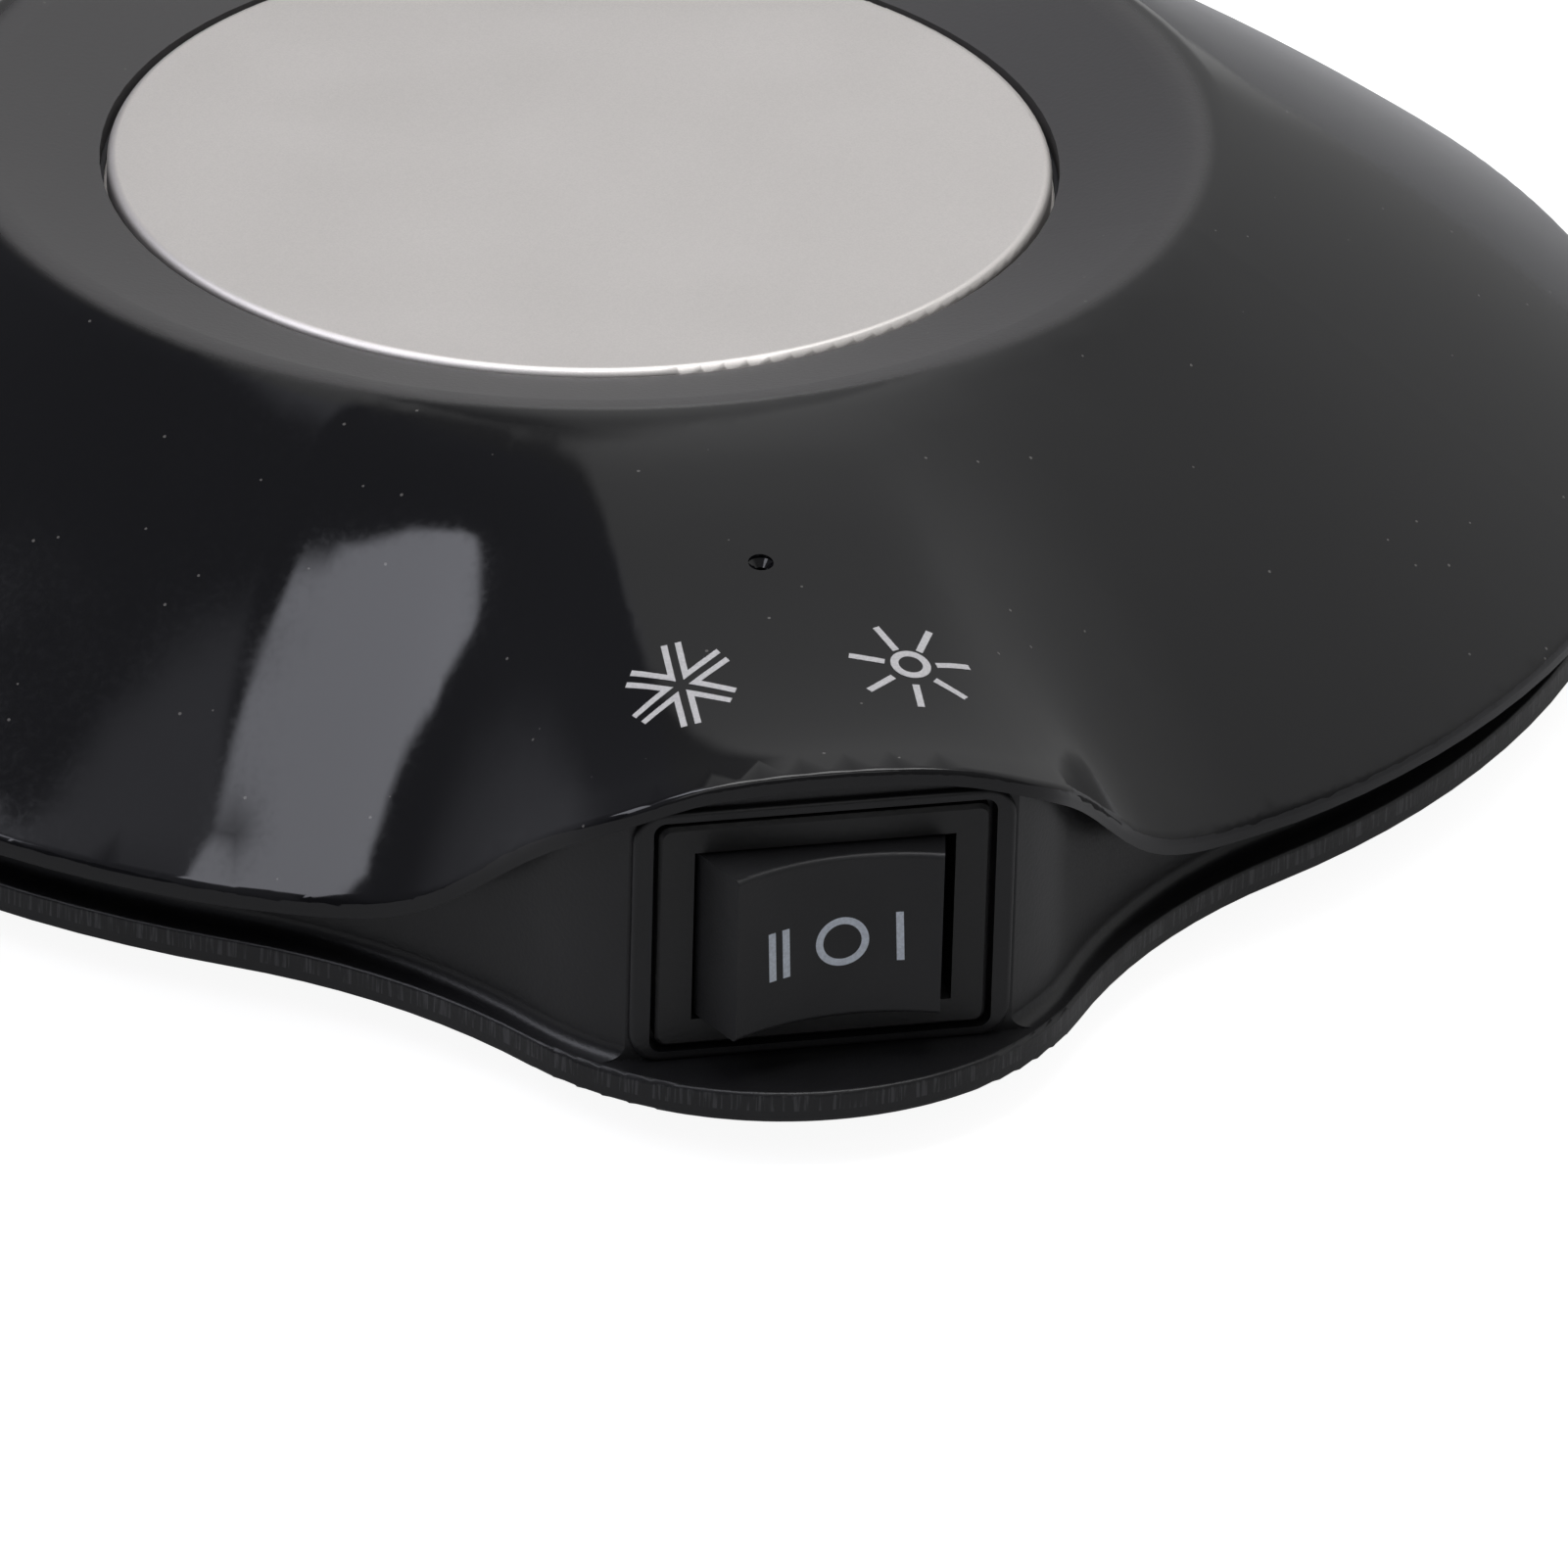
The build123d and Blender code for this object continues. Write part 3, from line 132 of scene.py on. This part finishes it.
# %% A node tree with its shader and its helpers
class Shading:
    def __init__(self, tree, shader):
        self.tree = tree
        self.shader = tree.nodes[shader]

    def set(self, socket, value):
        feed(self.tree, self.shader.inputs[socket], value)

    def node(self, kind, settings=None, output=0, **sockets):
        """Any node: its settings first, then its sockets by name."""
        node = self.tree.nodes.new(kind)
        for name, value in (settings or {}).items():
            setattr(node, name, value)
        for name, value in sockets.items():
            feed(self.tree, node.inputs[name.replace("_", " ").title()], value)
        return Wire(self.tree, node.outputs[output])

    def fade(self, value, start, end, low=0.0, high=1.0):
        """A value's way from start to end, as a smooth step from low to high."""
        return self.node(
            "ShaderNodeMapRange", {"interpolation_type": "SMOOTHSTEP"},
            value=value, from_min=start, from_max=end, to_min=low, to_max=high,
        )

    def mix(self, mask, first, second):
        """First colour where the mask is 0, second where it is 1."""
        node = self.tree.nodes.new("ShaderNodeMix")
        node.data_type = "RGBA"
        for slot, value in zip((node.inputs[0], node.inputs[6], node.inputs[7]), (mask, first, second)):
            feed(self.tree, slot, value)
        return Wire(self.tree, node.outputs[2])

    def split(self, vector):
        """The three numbers of a vector."""
        parts = self.tree.nodes.new("ShaderNodeSeparateXYZ")
        self.tree.links.new(vector.socket, parts.inputs[0])
        return [Wire(self.tree, output) for output in parts.outputs]


# %% A finish: one material, with patterns in the object's own place
class Finish(Shading):
    def __init__(self, name, **constants):
        self.material = bpy.data.materials.new(name)
        self.material.use_nodes = True
        super().__init__(self.material.node_tree, "Principled BSDF")
        self.place = self.node("ShaderNodeTexCoord", output="Object")
        for socket, value in constants.items():
            self.set(socket.replace("_", " ").title().replace("Ior", "IOR"), value)

    def noise(self, size, detail=2.0, place=None):
        """Cloudy pattern from 0 to 1, with lumps about as large as size."""
        return self.node("ShaderNodeTexNoise", vector=place or self.place, scale=1 / size, detail=detail)

    def bumps(self, *layers, normal=None):
        """Each layer is a height pattern and how high it stands, in metres."""
        for height, rise in layers:
            sockets = {"height": height, "distance": rise, "strength": 1.0}
            if normal is not None:
                sockets["normal"] = normal
            normal = self.node("ShaderNodeBump", **sockets)
        self.set("Normal", normal)

    def from_axis(self, centre):
        """Level distance of a point from an upright line through a centre."""
        across, along, _ = self.split(self.place)
        across = across - centre.x
        along = along - centre.y
        return (across * across + along * along).maths("SQRT")


def paint(colour, share=1.0):
    """A colour as a socket takes it, darkened to a share of itself."""
    return tuple(share * value for value in colour) + (1,)


def wear(finish, *nodes):
    """Give CAD nodes a finish, in place of the plain one they came with."""
    for name in nodes:
        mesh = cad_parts[name].data
        mesh.materials.clear()
        mesh.materials.append(finish.material)


print("shader helpers ready")

# %% [markdown]
# ## How the skirt throws its reflections
# A mirror-like skirt shows every tenth of a degree in its form. Where a moulded flank is a touch
# fuller, or a stretch of the skirt a touch flatter, than the smooth loft of the frame, a reflection
# ends somewhere else. Moving the mesh for that isn't needed: the shading normal can be turned a
# little sideways. Each zone is a product of smooth steps, so that nothing shows where it begins.

# %% The normal of the skirt, turned a little
flank_start = -46 * mm
flank_run = 6 * mm
flank_turn = 0.27
beside_start = (radians(29.5), radians(32.5))
beside_end = (radians(90), radians(65))
beside_turn = 0.22
rim_turn = 0.20


def turned_normal(finish):
    """The surface's normal, with its sideways part made less in two zones of the skirt."""
    across, along, upward = finish.split(finish.node("ShaderNodeNewGeometry", output="Normal"))
    east, north, _ = finish.split(finish.place)
    flank = finish.fade(across, 0.45, 0.70) * finish.fade(upward, 0.30, 0.45)
    flank = flank * finish.fade(north, flank_start, flank_start - flank_run)
    to_left = (east * -1).maths("ARCTAN2", plate_centre.y - north)
    beside = finish.fade(to_left, *beside_start) * finish.fade(to_left, *beside_end)
    beside = beside * finish.fade(upward, 0.45, 0.60)
    flatter = beside_turn + finish.fade(upward, 0.80, 0.68) * rim_turn
    less = 1 - flank * flank_turn - beside * flatter
    turned = finish.node("ShaderNodeCombineXYZ", x=across * less, y=along, z=upward)
    return finish.node("ShaderNodeVectorMath", {"operation": "NORMALIZE"}, vector=turned)


print("right flank turned by", flank_turn, "and left skirt by", beside_turn)

# %% [markdown]
# ## Polished shell with a satin ring
# The shell is one moulding of black ABS. Its mould is polished over the skirt and spark-eroded round
# the plate, so the same plastic is mirror-like outside the crest and satin inside it. One mask, the
# distance from the plate's axis, sets the roughness and lets the fine grain in. The polish is never
# perfect: a very low wave bends long reflections, wiping leaves faint dull patches, and specks of
# dust lie on it.

# %% Black shell
crest_inside = 41.0 * mm
crest_outside = 42.4 * mm
satin_roughness = 0.48
polish = 0.42
dust_spacing = 2.6 * mm
skirt_black = (0.005, 0.005, 0.006)
ring_black = (0.066, 0.064, 0.064)
dust_grey = (0.12, 0.115, 0.11)
shell = Finish("shell_gloss", ior=1.5)
outside = shell.fade(shell.from_axis(plate_centre), crest_inside, crest_outside)
dull = shell.fade(shell.noise(14 * mm, detail=3.0), 0.45, 0.75, 0.0, 0.05)
smear = shell.fade(shell.noise(0.5 * mm, detail=3.0), 0.4, 0.7, 0.0, 0.03)
shell.set("Roughness", satin_roughness - outside * polish + (dull + smear) * outside)
speck = shell.node("ShaderNodeTexVoronoi", vector=shell.place, scale=1 / dust_spacing)
dust = shell.fade(speck, 0.035, 0.05, 1.0, 0.0)
black = shell.mix(outside, paint(ring_black), paint(skirt_black))
shell.set("Base Color", shell.mix(dust, black, paint(dust_grey)))
wave = shell.noise(9 * mm, detail=0.0)
ring_grain = shell.noise(0.35 * mm) * (1 - outside)
shell.bumps((wave, 0.02 * mm), (ring_grain, 0.02 * mm), normal=turned_normal(shell))
wear(shell, "upper_shell")
print("shell finish:", shell.material.name)

# %% [markdown]
# ## Satin housing and switch
# The base, its bottom cover and the fan are plain mouldings with an eroded finish. The switch is glass
# filled nylon, greyer and with a coarser grain. Each gets its own roughness and grain, and a little
# unevenness, because a large moulding never dulls the light the same way all over.

# %% Satin mouldings
roughness_drift = 0.04
grain_rise = 0.06


def moulding(name, colour, roughness, grain):
    """Eroded plastic: a colour, a roughness that drifts a little, and a grain of a given size."""
    finish = Finish(name, ior=1.5)
    drift = finish.noise(11 * mm, detail=3.0)
    finish.set("Roughness", drift * (2 * roughness_drift) + (roughness - roughness_drift))
    cloud = finish.fade(finish.noise(5 * mm), 0.3, 0.7)
    finish.colour = finish.mix(cloud, paint(colour, 0.8), paint(colour))
    finish.set("Base Color", finish.colour)
    finish.bumps((finish.noise(grain), grain_rise * grain))
    return finish


housing = moulding("housing_satin", (0.011, 0.011, 0.012), 0.36, 0.30 * mm)
wear(housing, "housing", "bottom_cover")
for name, colour, roughness, grain, nodes in (
    ("switch_nylon", (0.013, 0.013, 0.013), 0.42, 0.40, ("switch_body",)),
    ("rocker_nylon", (0.015, 0.015, 0.016), 0.45, 0.25, ("switch_rocker", "switch_plunger")),
    ("fan_plastic", (0.020, 0.020, 0.021), 0.50, 0.40, ("fan_frame", "fan_rotor")),
    ("foot_rubber", (0.022, 0.022, 0.023), 0.72, 0.30, ("rubber_feet",)),
    ("connector_cream", (0.62, 0.57, 0.43), 0.45, 0.30, ("board_connectors",)),
    ("chip_epoxy", (0.018, 0.018, 0.019), 0.50, 0.15, ("board_driver", "thermal_cutout", "dc_jack")),
    ("pad_silicone", (0.33, 0.34, 0.36), 0.60, 0.20, ("upper_thermal_pad", "lower_thermal_pad")),
    ("gasket_silicone", (0.05, 0.05, 0.055), 0.60, 0.20, ("plate_gasket",)),
    ("foam_white", (0.78, 0.78, 0.76), 0.90, 0.60, ("foam_insulator",)),
    ("ceramic_white", (0.80, 0.79, 0.76), 0.55, 0.10, ("peltier_upper_ceramic", "peltier_lower_ceramic")),
    ("board_mask", (0.010, 0.115, 0.045), 0.30, 0.80, ("circuit_board",)),
    ("capacitor_sleeve", (0.012, 0.016, 0.050), 0.30, 0.80, ("board_capacitor",)),
):
    wear(moulding(name, colour, roughness, grain * mm), *nodes)
    print(name, "on", *nodes)

# %% [markdown]
# ## Rubbed edge, with a painted highlight
# The flange stands out all round, so handling and the table's edge rub it. The marks are fine, nearly
# upright and paler than the plastic. Their pale grey is partly real wear and partly a painted highlight:
# the light that the striated edge reflects is painted into its colour. A noise that is drawn out upwards
# gives such lines, and two masks keep them on the flange: its level, and a normal that faces sideways.

# %% Scratches and a painted highlight on the flange's edge
flange_joint = 4.4 * mm
flange_top = 5.62 * mm
edge_fade = 0.1 * mm
streak_width = 0.20 * mm
streak_stretch = (1, 1, 0.06)
# The streaks' pale grey: partly worn plastic, partly a painted highlight on the flange's edge.
worn_and_highlight_grey = (0.055, 0.055, 0.058)
facing_up = housing.split(housing.node("ShaderNodeNewGeometry", output="Normal"))[2]
standing = housing.split(housing.place)[2]
edge = housing.fade(facing_up.maths("ABSOLUTE"), 0.5, 0.3)
edge = edge * housing.fade(standing, flange_top + edge_fade, flange_top)
edge = edge * housing.fade(standing, flange_joint - edge_fade, flange_joint)
stretched = housing.node("ShaderNodeMapping", vector=housing.place, scale=streak_stretch)
scratch_and_highlight = housing.fade(housing.noise(streak_width, detail=4.0, place=stretched), 0.48, 0.66)
# Paler streaks on the edge: real wear and a painted highlight together.
housing.set("Base Color", housing.mix(scratch_and_highlight * edge, housing.colour, paint(worn_and_highlight_grey)))
print("scratches from", flange_joint, "to", flange_top)

# %% [markdown]
# ## Metals
# The plate is aluminium, blasted with fine beads and anodised clear: an even pale grey that spreads
# the light over a wide soft highlight. Steel, brass, bronze and copper differ in colour and polish
# only, so one function makes them all.

# %% Metal parts
metal_rise = 0.03


def metal(name, colour, roughness, grain):
    """Bare metal with a fine grain and roughness that drifts a little."""
    finish = Finish(name, metallic=1.0)
    drift = finish.noise(8 * mm, detail=3.0)
    finish.set("Roughness", drift * (2 * roughness_drift) + (roughness - roughness_drift))
    tone = finish.fade(finish.noise(grain), 0.25, 0.75)
    finish.set("Base Color", finish.mix(tone, paint(colour, 0.94), paint(colour)))
    finish.bumps((finish.noise(grain), metal_rise * grain))
    return finish


for name, colour, roughness, grain, nodes in (
    ("plate_anodised", (0.92, 0.885, 0.855), 0.52, 0.12, ("mug_plate",)),
    ("sink_aluminium", (0.76, 0.77, 0.78), 0.35, 0.30, ("heat_sink",)),
    ("screw_steel", (0.56, 0.56, 0.57), 0.25, 0.20,
     ("case_screws", "fan_screws", "board_screws", "heat_sink_screws", "switch_spring")),
    ("core_steel", (0.35, 0.35, 0.36), 0.45, 0.30, ("fan_stator", "board_inductor")),
    ("magnet_ferrite", (0.10, 0.10, 0.11), 0.55, 0.30, ("fan_magnet",)),
    ("bearing_bronze", (0.66, 0.44, 0.22), 0.40, 0.20, ("fan_bearing",)),
    ("pin_brass", (0.78, 0.62, 0.32), 0.25, 0.20, ("dc_jack_pin", "switch_terminals")),
    ("contact_copper", (0.80, 0.45, 0.33), 0.28, 0.20, ("switch_contact",)),
    ("pellet_telluride", (0.42, 0.42, 0.44), 0.50, 0.20, ("peltier_pellets",)),
):
    wear(metal(name, colour, roughness, grain * mm), *nodes)
    print(name, "on", *nodes)

# %% [markdown]
# ## Indicator lamp
# Behind the small hole sits a water-clear lamp that is dark while the appliance is off. Clear resin
# is made with transmission and a low roughness.

# %% Lamp resin
resin = Finish("lamp_resin", ior=1.5, transmission_weight=0.6)
resin.set("Roughness", resin.noise(1.0 * mm) * 0.1 + 0.08)
resin.set("Base Color", resin.mix(resin.noise(0.8 * mm), (0.30, 0.30, 0.31, 1), (0.42, 0.42, 0.43, 1)))
wear(resin, "indicator_led")
print("lamp done")

# %% [markdown]
# ## Printed signs
# A snowflake and a sun are pad printed on the shell, and II, O and I on the rocker. Pad ink is a thin
# film that follows the form, so each sign is drawn flat, dropped on the moulding along a straight
# line, point by point, and given a thickness of a few hundredths. Strokes are cut into short steps
# first, because a film can only follow the form where it has points.

# %% Ink, and flat shapes to draw with
print_film = 0.03 * mm
stroke_step = 0.35 * mm
ring_steps = 48


def ink(name, colour):
    """Opaque screen ink, slightly uneven, because the pad never lays it down quite flat."""
    finish = Finish(name, ior=1.5)
    finish.set("Roughness", finish.noise(0.5 * mm) * 0.15 + 0.38)
    thin = finish.fade(finish.noise(0.18 * mm, detail=4.0), 0.35, 0.65)
    finish.set("Base Color", finish.mix(thin, paint(colour, 0.86), paint(colour)))
    finish.bumps((finish.noise(0.12 * mm), 0.004 * mm))
    return finish


def stroke(drawing, start, end, width, slant=0.0):
    """A straight stroke between two flat points; its start may be slanted, as a share of the width."""
    start = Vector(start)
    end = Vector(end)
    along = (end - start).normalized()
    side = Vector((-along.y, along.x)) * width / 2
    cut = along * slant * width / 2
    corners = (start - side - cut, end - side, end + side, start + side + cut)
    points = [drawing.verts.new((p.x, p.y, 0)) for p in corners]
    face = drawing.faces.new(points)
    steps = max(1, round((end - start).length / stroke_step))
    long_edges = [e for e in face.edges if set(e.verts) in (set(points[:2]), set(points[2:]))]
    bmesh.ops.subdivide_edges(drawing, edges=long_edges, cuts=steps, use_grid_fill=True)


def ring(drawing, radius, width):
    """A flat ring about the middle, spun from one radial edge."""
    inner = drawing.verts.new((radius - width / 2, 0, 0))
    outer = drawing.verts.new((radius + width / 2, 0, 0))
    edge = drawing.edges.new((inner, outer))
    bmesh.ops.spin(
        drawing, geom=[inner, outer, edge], cent=(0, 0, 0), axis=(0, 0, 1),
        angle=tau, steps=ring_steps, use_merge=True,
    )


print("drawing tools ready")


# %% Lay a drawing on a moulding
start_back = 0.1


def lay_on(drawing, name, node, place, drop, finish, body):
    """Move a flat drawing to its place, drop it on a CAD node along a direction and thicken it."""
    bmesh.ops.transform(drawing, matrix=place, verts=drawing.verts)
    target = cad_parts[node].data
    tree = BVHTree.FromPolygons([v.co for v in target.vertices], [p.vertices for p in target.polygons])
    drop = Vector(drop).normalized()
    for vert in drawing.verts:
        hit = tree.ray_cast(vert.co - drop * start_back, drop)[0]
        vert.co = hit - drop * print_film
    bmesh.ops.recalc_face_normals(drawing, faces=drawing.faces)
    if sum(face.normal.dot(drop) for face in drawing.faces) > 0:
        bmesh.ops.reverse_faces(drawing, faces=drawing.faces)
    mesh = bpy.data.meshes.new(name)
    drawing.to_mesh(mesh)
    drawing.free()
    piece = bpy.data.objects.new(name, mesh)
    bpy.context.scene.collection.objects.link(piece)
    mesh.materials.append(finish.material)
    film = piece.modifiers.new("film", "SOLIDIFY")
    film.thickness = print_film
    film.offset = -1
    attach(piece, body)
    print(name, "faces:", len(mesh.polygons))


def over_shell(across, upward, spot):
    """Place a unit drawing level over the shell, from its two axes and its middle."""
    return Matrix((
        (across.x, upward.x, 0, spot.x),
        (across.y, upward.y, 0, spot.y),
        (0, 0, 1, plate_centre.z + 5 * mm),
        (0, 0, 0, 1),
    ))


# %% Snowflake: six chevrons, so that the gaps between them make the arms
sign_white = ink("sign_ink", (0.64, 0.63, 0.63))
snow_spot = Vector((-7.15, -63.65)) * mm
snow_across = Vector((3.52, 0.34)) * mm
snow_upward = Vector((0.13, 4.02)) * mm
sign_stroke = 0.115
arm_gap = 0.070
half_angle = radians(30)
snowflake = bmesh.new()
for arm in range(6):
    turn = radians(60 * arm + 60)
    for side in (-1, 1):
        lean = turn + side * half_angle
        along = Vector((cos(lean), sin(lean)))
        off = Vector((-along.y, along.x)) * -side * (arm_gap + sign_stroke / 2)
        start = along * (arm_gap + sign_stroke / 2) / tan(half_angle) + off
        stroke(snowflake, start, along * 1.0 + off, sign_stroke, slant=-side / tan(half_angle))
lay_on(snowflake, "sign_snowflake", "upper_shell", over_shell(snow_across, snow_upward, snow_spot),
       (0, 0, -1), sign_white, "base")

# %% Sun: a ring with seven rays
sun_spot = Vector((7.53, -63.24)) * mm
sun_across = Vector((3.92, 0)) * mm
sun_upward = Vector((0, 4.15)) * mm
sun_radius = 0.26
sun_stroke = 0.13
ray_centre = Vector((0, -0.06))
ray_start = 0.43
ray_count = 7
first_ray = 61
sun = bmesh.new()
ring(sun, sun_radius, sun_stroke)
for ray in range(ray_count):
    turn = radians(first_ray + ray * 360 / ray_count)
    along = Vector((cos(turn), sin(turn)))
    stroke(sun, ray_centre + along * ray_start, ray_centre + along * 1.0, sign_stroke)
lay_on(sun, "sign_sun", "upper_shell", over_shell(sun_across, sun_upward, sun_spot),
       (0, 0, -1), sign_white, "base")

# %% II, O and I on the rocker
mark_grey = ink("mark_ink", (0.76, 0.82, 0.90))
mark_across = 0.87 * mm
mark_height = 14.12 * mm
mark_lean = radians(2.4)
bar_height = 3.42 * mm
bar_width = 0.47 * mm
zero_radius = 1.47 * mm
first_bar = -4.60 * mm
second_bar = -3.67 * mm
last_bar = 3.64 * mm
marks = bmesh.new()
ring(marks, zero_radius, bar_width)
for bar in (first_bar, second_bar, last_bar):
    stroke(marks, (bar, -bar_height / 2), (bar, bar_height / 2), bar_width)
before_rocker = Matrix.Translation((mark_across, -0.1, mark_height)) @ Matrix.Rotation(pi / 2, 4, "X")
lay_on(marks, "rocker_marks", "switch_rocker", before_rocker @ Matrix.Rotation(mark_lean, 4, "Z"),
       (0, 1, 0), mark_grey, "rocker")

# %% [markdown]
# ## Floor
# The floor is a pale sheet. It adds a little light of its own where the camera or a mirror sees it,
# so it reads as white and still shows a shadow. From below it lets the view through, so that the
# grille and the feet can be looked at.

# %% Pale floor
floor_half = 3.0
floor_grey = (0.35, 0.35, 0.35)
camera_glow = 0.92
mirror_glow = 0.08
floor_mesh = bmesh.new()
bmesh.ops.create_grid(floor_mesh, x_segments=1, y_segments=1, size=floor_half)
floor_data = bpy.data.meshes.new("floor")
floor_mesh.to_mesh(floor_data)
floor_mesh.free()
floor = bpy.data.objects.new("floor", floor_data)
bpy.context.scene.collection.objects.link(floor)
pale = Finish("floor_pale", roughness=0.9)
pale.set("Base Color", paint(floor_grey))
camera_sees, gloss_sees, glass_sees = (
    pale.node("ShaderNodeLightPath", output=name)
    for name in ("Is Camera Ray", "Is Glossy Ray", "Is Transmission Ray")
)
glow = camera_sees * camera_glow + (gloss_sees + glass_sees) * mirror_glow
pale.set("Emission Strength", 1.0)
pale.set("Emission Color", pale.mix(glow, (0, 0, 0, 1), (1, 1, 1, 1)))
pale.set("Alpha", 1 - pale.node("ShaderNodeNewGeometry", output="Backfacing"))
floor_data.materials.append(pale.material)
print("floor laid, half a side:", floor_half)

# %% [markdown]
# ## Light of the room
# Polished black plastic has hardly a colour of its own: it shows the room. So the room is drawn in
# the world's light, as a function of direction. A brighter wall stands on the right and a dim one on
# the left, a lit ceiling is overhead, a pale backdrop lies low behind, and high on the left is a
# window, whose long reflection runs down the skirt. Each zone is a smooth step between two
# directions. The camera itself sees plain white.

# %% Walls, ceiling and backdrop
world = bpy.data.worlds.new("room")
bpy.context.scene.world = world
world.use_nodes = True
room = Shading(world.node_tree, "Background")
east, north, height = room.split(room.node("ShaderNodeTexCoord", output="Generated"))
west = east * -1


def toward(level, mask, target):
    """A level that goes over to a target where a mask is 1."""
    return level + mask * (target - level)


right_level = 0.52
right_horizon = 0.36
left_level = 0.14
left_horizon = 0.28
backdrop_level = 0.9
ceiling_level = 4.0
front_dimming = 0.6
right_wall = toward(right_horizon, room.fade(height, 0.05, 0.55), right_level)
left_low = room.fade(height, 0.50, 0.20) * room.fade(north, 0.1, 0.4)
left_wall = toward(left_level, left_low, left_horizon)
# The corner between the two walls leans, and steps to the right below the middle height.
to_right = east - north * 0.6 - room.fade(height, 0.62, 0.48) * 0.04
level = toward(left_wall, room.fade(to_right, -0.435, -0.385), right_wall)
level = level * (1 - room.fade(north, -0.05, -0.45) * front_dimming)
level = toward(level, room.fade(height, 0.14, 0.06) * room.fade(north, 0.85, 0.95), backdrop_level)
# The ceiling's middle lies a little to the right of overhead and a little behind.
overhead = height * 0.994 + east * 0.10 + north * 0.05
level = toward(level, room.fade(overhead, 0.935, 0.965), ceiling_level)
print("walls", left_level, right_level, "ceiling", ceiling_level)

# %% Window on the left, and the colour of the light
window_level = 2.9
window_edges = (
    (west, 0.440, 0.465),
    (west, 0.745, 0.720),
    (west + north, 1.09, 1.05),
    (north, 0.44, 0.41),
    (north, -0.40, -0.34),
    (height, 0.30, 0.35),
)
cool_light = (0.96, 0.97, 1.07, 1)
neutral_light = (1, 1, 1, 1)
in_window = 1.0
for value, outer, inner in window_edges:
    in_window = room.fade(value, outer, inner) * in_window
level = toward(level, in_window, window_level)
seen = room.node("ShaderNodeLightPath", output="Is Camera Ray")
neutral = room.fade(east, -0.10, 0.0).maths("MAXIMUM", seen)
room.set("Color", room.mix(neutral, cool_light, neutral_light))
room.set("Strength", toward(level, seen, 1))
print("window edges:", len(window_edges))

# %% One soft box in front
box_spot = Vector((0.2, -1.9, 1.6))
box_side = 0.9
box_power = 2.0
box_light = bpy.data.lights.new("front_box", "AREA")
box_light.shape = "RECTANGLE"
box_light.size = box_side
box_light.size_y = box_side
box_light.energy = box_power
front_box = bpy.data.objects.new("front_box", box_light)
bpy.context.scene.collection.objects.link(front_box)
front_box.location = box_spot
front_box.rotation_euler = (plate_centre - box_spot).to_track_quat("-Z", "Y").to_euler()
print("lamp:", front_box.name)

# %% Finish
bpy.context.scene.view_settings.view_transform = "Standard"
